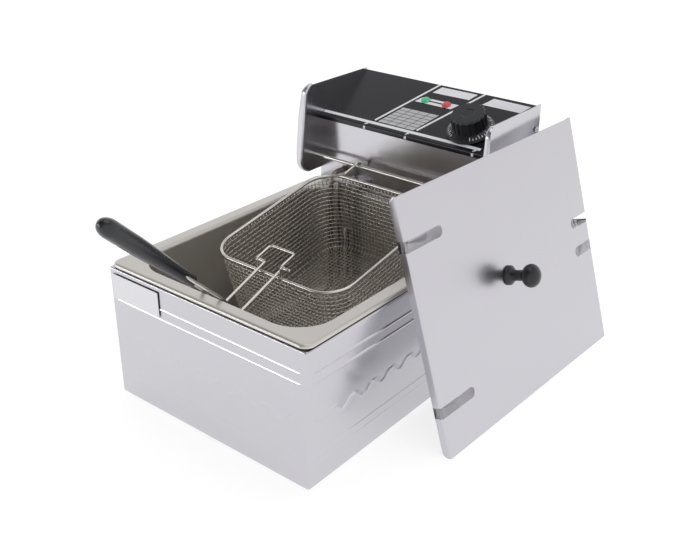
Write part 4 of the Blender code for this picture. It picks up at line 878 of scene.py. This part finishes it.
def hook_path(sizes, side):
    """From the rear rim up, over the hanging bar and down behind it."""
    hook = HOOK_WIRE
    rear = basket_point(np.array([(0, sizes.length / 2 - RIM_WIRE, RIM_WIRE + GAP + hook)]))[0]
    clear = BAR_RADIUS + hook + GAP
    line = [(rear[1], rear[2]), (BAR_Y - clear - 0.0015, BAR_Z + clear * 0.6),
            (BAR_Y - clear * 0.2, BAR_Z + clear * 1.15), (BAR_Y + clear, BAR_Z + clear * 0.7),
            (BAR_Y + clear + 0.0006, BAR_Z - 0.005)]
    return rounded_path([(side * 0.057, y, z) for y, z in line], [0, 0.003, 0.0022, 0.0022, 0], 8)


def stirrup_path(sizes):
    """The wire stirrup over the handle's pins."""
    start = basket_point(np.array([(0, -sizes.length / 2 + RIM_WIRE, RIM_WIRE + GAP)]))[0]
    y, z = start[1], start[2]
    half = 0.0172
    lean = [(half, y, z + 0.0003), (half, y + 0.0005, z + 0.0115), (half, y + 0.0225, z + 0.0185)]
    line = lean + [(-px, py, pz) for px, py, pz in reversed(lean)]
    return rounded_path(line, [0, 0.003, 0.004, 0.004, 0.003, 0], 8)


def handle_rest():
    """Where the handle's wires bend over the lip of the tank's front flange."""
    lip = np.array((0, TANK_INSET + TANK_RIM_END - TANK_LIP_RADIUS, RIM_Z - TANK_LIP_RADIUS))
    lean = math.radians(48)
    return lip + np.array((0, math.sin(lean), math.cos(lean))) * (TANK_LIP_RADIUS + HANDLE_WIRE + 4 * GAP)


def grip_axis():
    """The grip's lower end, its free end, and the unit direction between them."""
    rest, free = handle_rest(), np.array(GRIP_FREE_END)
    along = unit(free - rest)
    return rest + along * ((rest[1] + 0.0060) / -along[1]), free, along


def handle_path(sizes):
    """One wire: pin, over the rim, down and up the V, into the grip, and back the same way."""
    neck, _, along = grip_axis()
    rest, inside = handle_rest(), neck + along * 0.030
    over = basket_point(np.array([(0, -sizes.length / 2 + RIM_WIRE, RIM_WIRE + GAP + HANDLE_WIRE)]))[0]
    pin_end, apart, pin_y, pin_z = 0.0235, 0.0125, 0.1075, 0.1660
    half = [(pin_end, pin_y, pin_z), (apart, pin_y, pin_z), (apart, over[1] - 0.001, over[2] + 0.0004),
            (apart, 0.0386, 0.1395), (apart, rest[1], rest[2]), (0.0075, neck[1], neck[2]),
            (0.0050, inside[1], inside[2])]
    radii = [0, 0.0022, 0.010, 0.010, 0.004, 0.008, 0.004]
    line = half + [(-x, y, z) for x, y, z in reversed(half)]
    return rounded_path(line, radii + radii[::-1], 8)


def element_path():
    """Out of the head, down one side, round the tank's floor and back up the other."""
    half = [(-0.0885, HEAD_FRONT_Y + 0.024, 0.188), (-0.0885, 0.308, 0.188), (-0.0885, 0.308, 0.029),
            (-0.0885, 0.055, 0.029), (-0.030, 0.055, 0.029), (-0.030, 0.274, 0.029)]
    return rounded_path(half + [(-x, y, z) for x, y, z in reversed(half)], 0.014, 10)


class FRYER_OT_wires(Operator):
    """Make the rim, hooks, stirrup, handle wire, hanging bar and heating element"""
    bl_idname = "fryer.wires"
    bl_label = "Wire work"

    def execute(self, context):
        sizes = context.scene.fryer_basket
        bright = material_of("bright_wire")
        make_piece("rim_wire", tube(rim_path(sizes), RIM_WIRE, 16, True), bright, "basket",
                   ["basket_rim"])
        wires = [
            ("hook_wire_left", hook_path(sizes, -1), HOOK_WIRE, "basket", "basket_hook_left"),
            ("hook_wire_right", hook_path(sizes, 1), HOOK_WIRE, "basket", "basket_hook_right"),
            ("stirrup_wire", stirrup_path(sizes), STIRRUP_WIRE, "basket", "handle_bracket"),
            ("handle_wire", handle_path(sizes), HANDLE_WIRE, "handle", "handle_wires"),
            ("bar_wire", [(x, BAR_Y, BAR_Z) for x in np.linspace(-HEAD_INNER_X, HEAD_INNER_X, 12)],
             BAR_RADIUS, "head", "hanger_bar"),
        ]
        for name, path, radius, body, node in wires:
            line, radii = round_ended(path, radius)
            make_piece(name, tube(line, radii, 16), bright, body, [node])
        make_piece("element_tube", tube(element_path(), ELEMENT_TUBE, 18), material_of("element_metal"),
                   "head", ["heating_element"])
        return {"FINISHED"}


# ---------------------------------------------------------------- basket
def basket_levels(sizes):
    """(shrink, height) down a wall and round into the floor: a straight taper, then a quarter circle."""
    rows = int((sizes.depth - sizes.floor_radius - RIM_WIRE) / sizes.pitch)
    top = -RIM_WIRE * 0.6
    z = np.linspace(top, -sizes.depth + sizes.floor_radius, rows)
    shrink = RIM_WIRE + (sizes.taper - RIM_WIRE) * (z - top) / (z[-1] - top)
    turn = np.radians((45, 90))
    bend = np.stack((sizes.taper + sizes.floor_radius * (1 - np.cos(turn)),
                     -sizes.depth + sizes.floor_radius * (1 - np.sin(turn))), axis=1)
    return np.vstack([np.stack((shrink, z), axis=1), bend])


def basket_loop(sizes, shrink, spots):
    """Points and normals of one level's outline at fixed shares of its run."""
    corner = max(sizes.corner - shrink, 0.012)
    flat, normals = outline(sizes.width - 2 * shrink, sizes.length - 2 * shrink, corner, (40, 44), 16)
    flat, normals = np.vstack([flat, flat[:1]]), np.vstack([normals, normals[:1]])
    index = np.arange(len(flat))
    return [np.stack([np.interp(spots, index, values[:, k]) for k in (0, 1)], axis=1)
            for values in (flat, normals)]


def basket_spots(sizes):
    """Places of the upright wires, evenly spaced along the rim, as shares of the outline's points."""
    flat, _ = outline(sizes.width - 2 * RIM_WIRE, sizes.length - 2 * RIM_WIRE, sizes.corner - RIM_WIRE,
                      (40, 44), 16)
    flat = np.vstack([flat, flat[:1]])
    run = np.concatenate(([0], np.cumsum(np.linalg.norm(np.diff(flat, axis=0), axis=1))))
    count = int(run[-1] / sizes.pitch / 2) * 2
    return np.interp(np.arange(count) * run[-1] / count, run, np.arange(len(flat)))


def wall_wires(sizes):
    """Uprights and rings that pass in front of and behind each other by turns.

    At crossing (i, j) an upright stands out by amp (-1)^(i + j) and a ring by the opposite.
    """
    levels, spots = basket_levels(sizes), basket_spots(sizes)
    loops = [basket_loop(sizes, shrink, spots) for shrink, _ in levels]
    flat = np.stack([loop[0] for loop in loops])
    out = np.stack([loop[1] for loop in loops])
    heights = np.broadcast_to(levels[:, 1][:, None, None], (*flat.shape[:2], 1))
    sign = (-1.0) ** np.add.outer(np.arange(len(levels)), np.arange(len(spots)))[..., None]
    amp = sizes.wire * 0.95
    uprights = np.concatenate((flat + out * sign * amp, heights), axis=2)
    rings = np.concatenate((flat - out * sign * amp, heights), axis=2)
    shapes = [tube(basket_point(uprights[:, j]), sizes.wire, 5) for j in range(len(spots))]
    shapes += [tube(basket_point(rings[i]), sizes.wire, 5, True) for i in range(1, len(levels) - 1)]
    return join(shapes)


def floor_wires(sizes):
    """Two families of straight wires woven across the floor and clipped to its rounded outline."""
    shrink = sizes.taper + sizes.floor_radius
    half_w, half_l = sizes.width / 2 - shrink, sizes.length / 2 - shrink
    corner = max(sizes.corner - shrink, 0.012)
    amp = sizes.wire * 0.95
    shapes = []
    for first, half, other in ((0, half_w, half_l), (1, half_l, half_w)):
        places = np.arange(-int(other / sizes.pitch), int(other / sizes.pitch) + 1) * sizes.pitch
        crossings = np.arange(-int(half / sizes.pitch), int(half / sizes.pitch) + 1)
        for row, place in enumerate(places):
            beyond = max(abs(place) - (other - corner), 0)
            reach = half - corner + math.sqrt(max(corner ** 2 - beyond ** 2, 0))
            inside = crossings[np.abs(crossings * sizes.pitch) < reach - 0.001]
            if len(inside) < 2:
                continue
            run = np.concatenate(([-reach], inside * sizes.pitch, [reach]))
            lift = np.concatenate(([0], (-1.0) ** (inside + row + first) * amp, [0]))
            line = np.empty((len(run), 3))
            line[:, first], line[:, 1 - first], line[:, 2] = run, place, lift - sizes.depth
            shapes.append(tube(basket_point(line), sizes.wire, 5))
    return join(shapes)


class FRYER_OT_basket(Operator):
    """Weave the basket's walls and floor"""
    bl_idname = "fryer.basket"
    bl_label = "Basket"

    def execute(self, context):
        sizes = context.scene.fryer_basket
        mesh = material_of("mesh_wire")
        make_piece("basket_woven_walls", wall_wires(sizes), mesh, "basket", ["basket_mesh"])
        make_piece("basket_woven_floor", floor_wires(sizes), mesh, "basket", [])
        return {"FINISHED"}


# ---------------------------------------------------------------- grip
def grip_shape():
    """An oval bar along its axis, fuller towards the free end and grooved underneath.

    At share t of the length the section is a cos a across and b sin a up; both close in quarter
    circles at the ends. The groove takes depth exp(-(x / w)^4) from the underside.
    """
    neck, free, along = grip_axis()
    size = np.linalg.norm(free - neck)
    t = 0.5 - 0.5 * np.cos(np.linspace(0, math.pi, 72))
    angle = np.linspace(0, 2 * math.pi, 64, endpoint=False)
    body = np.clip(t / 0.7, 0, 1)
    fuller = 0.70 + 0.30 * body * body * (3 - 2 * body)
    tip = np.sqrt(np.clip(1 - np.clip((t - 0.90) / 0.10, 0, 1) ** 2, 0.004, 1))
    foot = 0.62 + 0.38 * np.sqrt(np.clip(1 - np.clip((0.035 - t) / 0.035, 0, 1) ** 2, 0, 1))
    swell = fuller * tip * foot
    a, b = GRIP_HALF_WIDTH * swell[:, None], GRIP_HALF_THICKNESS * swell[:, None]
    x = a * np.sign(np.cos(angle)) * np.abs(np.cos(angle)) ** 0.9
    y = b * np.sign(np.sin(angle)) * np.abs(np.sin(angle)) ** 0.9
    run = np.clip((t - 0.02) / 0.03, 0, 1) * np.clip((0.80 - t) / 0.05, 0, 1)
    groove = GRIP_GROOVE * run[:, None] * np.exp(-(x / 0.0030) ** 4) * (y < 0)
    y = y + groove
    rows, columns = len(t), len(angle)
    z = np.broadcast_to((t * size)[:, None], (rows, columns))
    local = np.stack((x, y, z), axis=2).reshape(-1, 3)
    up = np.cross(along, (1.0, 0, 0))
    points = into(local, neck, (1.0, 0, 0), up, along)
    faces = grid_faces(rows, columns, False, True).tolist()
    last = (rows - 1) * columns
    faces += [list(range(columns))[::-1], [last + k for k in range(columns)]]
    return points, faces


class FRYER_OT_grip(Operator):
    """Make the handle's moulded grip"""
    bl_idname = "fryer.grip"
    bl_label = "Grip"

    def execute(self, context):
        grip = make_piece("grip_moulded", grip_shape(), material_of("grip_plastic"), "handle",
                          ["handle_grip"])
        even_normals(grip)
        return {"FINISHED"}


# ---------------------------------------------------------------- lid
def slot_corners(end, middle, width, edge, way):
    """Outline points into and out of one round-ended slot, from the sheet's edge."""
    half = width / 2
    turn = np.radians(np.linspace(90, -90, 13))
    arc = [(end - way * half + way * half * math.cos(a), middle + half * math.sin(a)) for a in turn]
    mouth = [(edge, middle + half), (edge, middle - half)]
    return [mouth[0], *arc, mouth[1]]


def flat_lid(lid):
    """The lid's outline before its two edges are folded, run along the foot by height."""
    arc = lid.bend * math.pi / 2
    low = lid.bend - arc - (lid.flange - lid.bend)
    high = lid.length - low
    middle = lid.height / 2
    near = []
    for offset in (0.089, -0.089):
        near += slot_corners(0.059, middle + offset, lid.slot, low, 1)
    far = []
    for offset in (0.0175, -0.0175):
        far += slot_corners(lid.length - 0.038, middle + offset, lid.slot, high, -1)
    turn = np.radians(np.linspace(0, 90, 7))
    r = lid.corner
    near_top = [(low + r - r * math.cos(a), lid.height - r + r * math.sin(a)) for a in turn[::-1]]
    near_foot = [(low + r - r * math.cos(a), r - r * math.sin(a)) for a in turn]
    far_foot = [(high - r + r * math.cos(a), r - r * math.sin(a)) for a in turn[::-1]]
    far_top = [(high - r + r * math.cos(a), lid.height - r + r * math.sin(a)) for a in turn]
    return near_top + near + near_foot + far_foot + far[::-1] + far_top


def folded_lid(lid):
    """The flat sheet, cut along fold lines, then rolled: past a fold line the distance e becomes
    bend sin(e / bend) across and bend (1 - cos(e / bend)) down, then runs straight down."""
    work = bmesh.new()
    face = work.faces.new([work.verts.new((s, v, 0)) for s, v in flat_lid(lid)])
    bmesh.ops.triangulate(work, faces=[face])
    arc = lid.bend * math.pi / 2
    folds = lid.bend - np.linspace(0, arc, 9)
    lines = [*folds, *(lid.length - folds), *np.linspace(0.03, lid.length - 0.03, 8)]
    for s in lines:
        bmesh.ops.bisect_plane(work, geom=work.verts[:] + work.edges[:] + work.faces[:],
                               plane_co=(s, 0, 0), plane_no=(1, 0, 0), dist=1e-7)
    bmesh.ops.recalc_face_normals(work, faces=work.faces[:])
    work.faces.ensure_lookup_table()
    if work.faces[0].normal.z < 0:
        bmesh.ops.reverse_faces(work, faces=work.faces[:])
    work.verts.index_update()
    flat = np.array([v.co for v in work.verts])
    faces = [[v.index for v in f.verts] for f in work.faces]
    rims = [(e.link_loops[0].vert.index, e.link_loops[0].link_loop_next.vert.index)
            for e in work.edges if len(e.link_faces) == 1]
    work.free()
    layers = [rolled(lid, flat, depth) for depth in (0.0, SHEET)]
    count = len(flat)
    faces += [[count + k for k in reversed(face)] for face in faces]
    faces += [[b, a, count + a, count + b] for a, b in rims]
    corner, along, up, out = lid_axes(lid)
    return into(np.vstack(layers), corner, along, up, out), faces


def rolled(lid, flat, depth):
    """Points of the sheet at a depth under its outer face, rolled about the fold's own centre."""
    s = flat[:, 0]
    far = s > lid.length / 2
    near = np.where(far, lid.length - s, s)
    turn = np.clip((lid.bend - near) / lid.bend, 0, math.pi / 2)
    straight = np.clip(lid.bend - near - lid.bend * math.pi / 2, 0, None)
    reach = lid.bend - depth
    u = np.where(near < lid.bend, lid.bend - reach * np.sin(turn), near)
    w = np.where(near < lid.bend, reach * np.cos(turn) - lid.bend - straight, -depth)
    return np.column_stack((np.where(far, lid.length - u, u), flat[:, 1], w))


def lid_knob_shape(lid):
    """A turned knob: a flared foot, a straight neck and a flattened ball."""
    turn = np.radians(np.linspace(88, -48, 16))
    ball = np.stack((0.0130 * np.cos(turn), 0.0287 + 0.0098 * np.sin(turn)), axis=1)
    foot = [(0.0062, 0.0190), (0.0060, 0.0105), (0.0064, 0.0070), (0.0078, 0.0046), (0.0100, 0.0032),
            (0.0110, 0.0022), (0.0110, 0.0004), (0.0106, GAP), (0, GAP)]
    points, faces = turned(np.vstack([[(0, 0.0385)], ball, foot]), 64)
    corner, along, up, out = lid_axes(lid)
    return into(points, corner + along * LID_KNOB_ALONG + up * LID_KNOB_UP, along, up, out), faces


class FRYER_OT_lid(Operator):
    """Make the slotted lid and its knob"""
    bl_idname = "fryer.lid"
    bl_label = "Lid"

    def execute(self, context):
        lid = context.scene.fryer_lid
        plate = make_piece("lid_folded", folded_lid(lid), material_of("lid_steel"), "lid",
                           ["lid_plate"])
        even_normals(plate)
        knob = make_piece("lid_knob_turned", lid_knob_shape(lid), material_of("dark_plastic"), "lid",
                          ["lid_knob"])
        even_normals(knob)
        return {"FINISHED"}


# ---------------------------------------------------------------- carried-over nodes
NODE_FINISHES = {
    "satin_steel": ("bottom_plate", "rear_bracket", "head_front_plate", "head_base", "hook_plate",
                    "control_panel", "back_cover", "sensor_guard"),
    "bright_wire": ("cheek_screw_left", "cheek_screw_right", "sensing_bulb", "lid_knob_screw"),
    "badge_metal": ("badge",),
    "brass_fitting": ("element_nut_left", "element_nut_right", "thermostat", "thermostat_shaft"),
    "pale_plastic": ("lamp_holder_green", "lamp_holder_red", "terminal_block", "lead_to_thermostat",
                     "lead_to_element", "lead_to_cutout", "switch_plunger"),
    "dark_plastic": ("thermal_cutout", "cable_gland", "safety_switch"),
    "foot_rubber": ("foot_front_left", "foot_front_right", "foot_rear_left", "foot_rear_right"),
    "red_lens": ("reset_button",),
}


class FRYER_OT_finishes(Operator):
    """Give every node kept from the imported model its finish"""
    bl_idname = "fryer.finishes"
    bl_label = "Kept nodes"

    def execute(self, context):
        for kind, nodes in NODE_FINISHES.items():
            for name in nodes:
                node = FRAME["nodes"][name]
                node.data.materials.clear()
                node.data.materials.append(material_of(kind))
        return {"FINISHED"}


# ---------------------------------------------------------------- stage
class FRYER_OT_stage(Operator):
    """Set up the pale floor, the soft light and the camera"""
    bl_idname = "fryer.stage"
    bl_label = "Stage"

    def execute(self, context):
        self.make_floor()
        self.make_sky()
        self.make_light("light_front", (-1.25, -1.55, 0.50), (math.radians(76), 0, math.radians(-39)),
                        (1.3, 0.35), 7)
        self.make_light("light_top", (0.1, 0.2, 1.9), (0, 0, 0), (1.2, 1.2), 4)
        self.make_camera(context)
        return {"FINISHED"}

    def make_floor(self):
        """A wide pale floor that the eye sees as white and that lights the steel softly."""
        size = FLOOR_HALF
        mesh = bpy.data.meshes.new("floor")
        mesh.from_pydata([(-size, -size, -0.0002), (size, -size, -0.0002), (size, size, -0.0002),
                          (-size, size, -0.0002)], [], [(0, 1, 2, 3)])
        floor = bpy.data.objects.new("floor", mesh)
        bpy.context.scene.collection.objects.link(floor)
        material = bpy.data.materials.new("pale_floor")
        material.use_nodes = True
        tree = material.node_tree
        shader = tree.nodes["Principled BSDF"]
        shader.inputs["Base Color"].default_value = (0.40, 0.40, 0.405, 1)
        shader.inputs["Roughness"].default_value = 0.9
        shader.inputs["Emission Color"].default_value = (1, 1, 1, 1)
        shader.inputs["Emission Strength"].default_value = 0.76
        mesh.materials.append(material)

    def make_sky(self):
        world = bpy.data.worlds.new("studio")
        bpy.context.scene.world = world
        world.use_nodes = True
        tree = world.node_tree
        look = add(tree, "ShaderNodeTexCoord")
        behind = add(tree, "ShaderNodeVectorMath",
                     {0: look.outputs["Generated"], 1: (-0.42, -0.72, 0.55)}, operation="DOT_PRODUCT")
        dim = add(tree, "ShaderNodeMapRange", {"Value": behind.outputs["Value"], "From Min": 0.55,
                                               "From Max": 0.92, "To Min": 1.0, "To Max": 0.28},
                  interpolation_type="SMOOTHSTEP")
        height = add(tree, "ShaderNodeSeparateXYZ", {"Vector": look.outputs["Generated"]})
        roof = add(tree, "ShaderNodeMapRange", {"Value": height.outputs["Z"], "From Min": 0.5,
                                                "From Max": 0.8, "To Min": 1.0, "To Max": 0.55},
                   interpolation_type="SMOOTHSTEP")
        level = add(tree, "ShaderNodeMath", {0: dim.outputs["Result"], 1: roof.outputs["Result"]},
                    operation="MULTIPLY")
        path = add(tree, "ShaderNodeLightPath")
        seen = add(tree, "ShaderNodeMath", {0: level.outputs["Value"], 1: path.outputs["Is Camera Ray"]},
                   operation="MAXIMUM")
        sky = tree.nodes["Background"]
        sky.inputs["Color"].default_value = (1.0, 0.995, 1.0, 1)
        tree.links.new(seen.outputs["Value"], sky.inputs["Strength"])

    def make_light(self, name, place, turn, size, power):
        data = bpy.data.lights.new(name, "AREA")
        data.shape = "RECTANGLE"
        data.size, data.size_y = size
        data.energy = power
        light = bpy.data.objects.new(name, data)
        light.location = place
        light.rotation_euler = turn
        bpy.context.scene.collection.objects.link(light)

    def make_camera(self, context):
        data = bpy.data.cameras.new("camera")
        data.sensor_width = 36.0
        data.lens = CAMERA_LENS
        data.clip_start, data.clip_end = 0.05, 50
        camera = bpy.data.objects.new("camera", data)
        camera.location = CAMERA_PLACE
        camera.rotation_euler = [math.radians(angle) for angle in CAMERA_DEGREES]
        context.scene.collection.objects.link(camera)
        context.scene.camera = camera
        context.scene.view_settings.view_transform = "Standard"


class FRYER_PT_panel(Panel):
    """Lists the pieces in the sidebar"""
    bl_label = "Fryer"
    bl_idname = "FRYER_PT_panel"
    bl_space_type = "VIEW_3D"
    bl_region_type = "UI"
    bl_category = "Fryer"

    def draw(self, context):
        for operator in OPERATORS:
            self.layout.operator(operator.bl_idname)
        for name in SETTINGS:
            group = getattr(context.scene, name)
            box = self.layout.box()
            for key in group.bl_rna.properties.keys():
                if key not in ("rna_type", "name"):
                    box.prop(group, key)


SETTINGS = {
    "fryer_body": FryerBodySettings, "fryer_tank": FryerTankSettings,
    "fryer_basket": FryerBasketSettings, "fryer_lid": FryerLidSettings,
    "fryer_dial": FryerDialSettings, "fryer_finish": FryerFinishSettings,
}
OPERATORS = (FRYER_OT_stage, FRYER_OT_finishes, FRYER_OT_body, FRYER_OT_tank, FRYER_OT_head,
             FRYER_OT_print, FRYER_OT_dial, FRYER_OT_wires, FRYER_OT_basket, FRYER_OT_grip,
             FRYER_OT_lid)


def register():
    for item in (*SETTINGS.values(), *OPERATORS, FRYER_PT_panel):
        bpy.utils.register_class(item)
    for name, group in SETTINGS.items():
        setattr(bpy.types.Scene, name, PointerProperty(type=group))


def unregister():
    for name in SETTINGS:
        delattr(bpy.types.Scene, name)
    for item in (FRYER_PT_panel, *reversed(OPERATORS), *reversed(list(SETTINGS.values()))):
        bpy.utils.unregister_class(item)


def main():
    register()
    for item in list(bpy.data.objects):
        if item.type in ("LIGHT", "CAMERA"):
            bpy.data.objects.remove(item)
    for operator in OPERATORS:
        getattr(bpy.ops.fryer, operator.bl_idname.split(".")[1])()


if __name__ == "__main__":
    main()
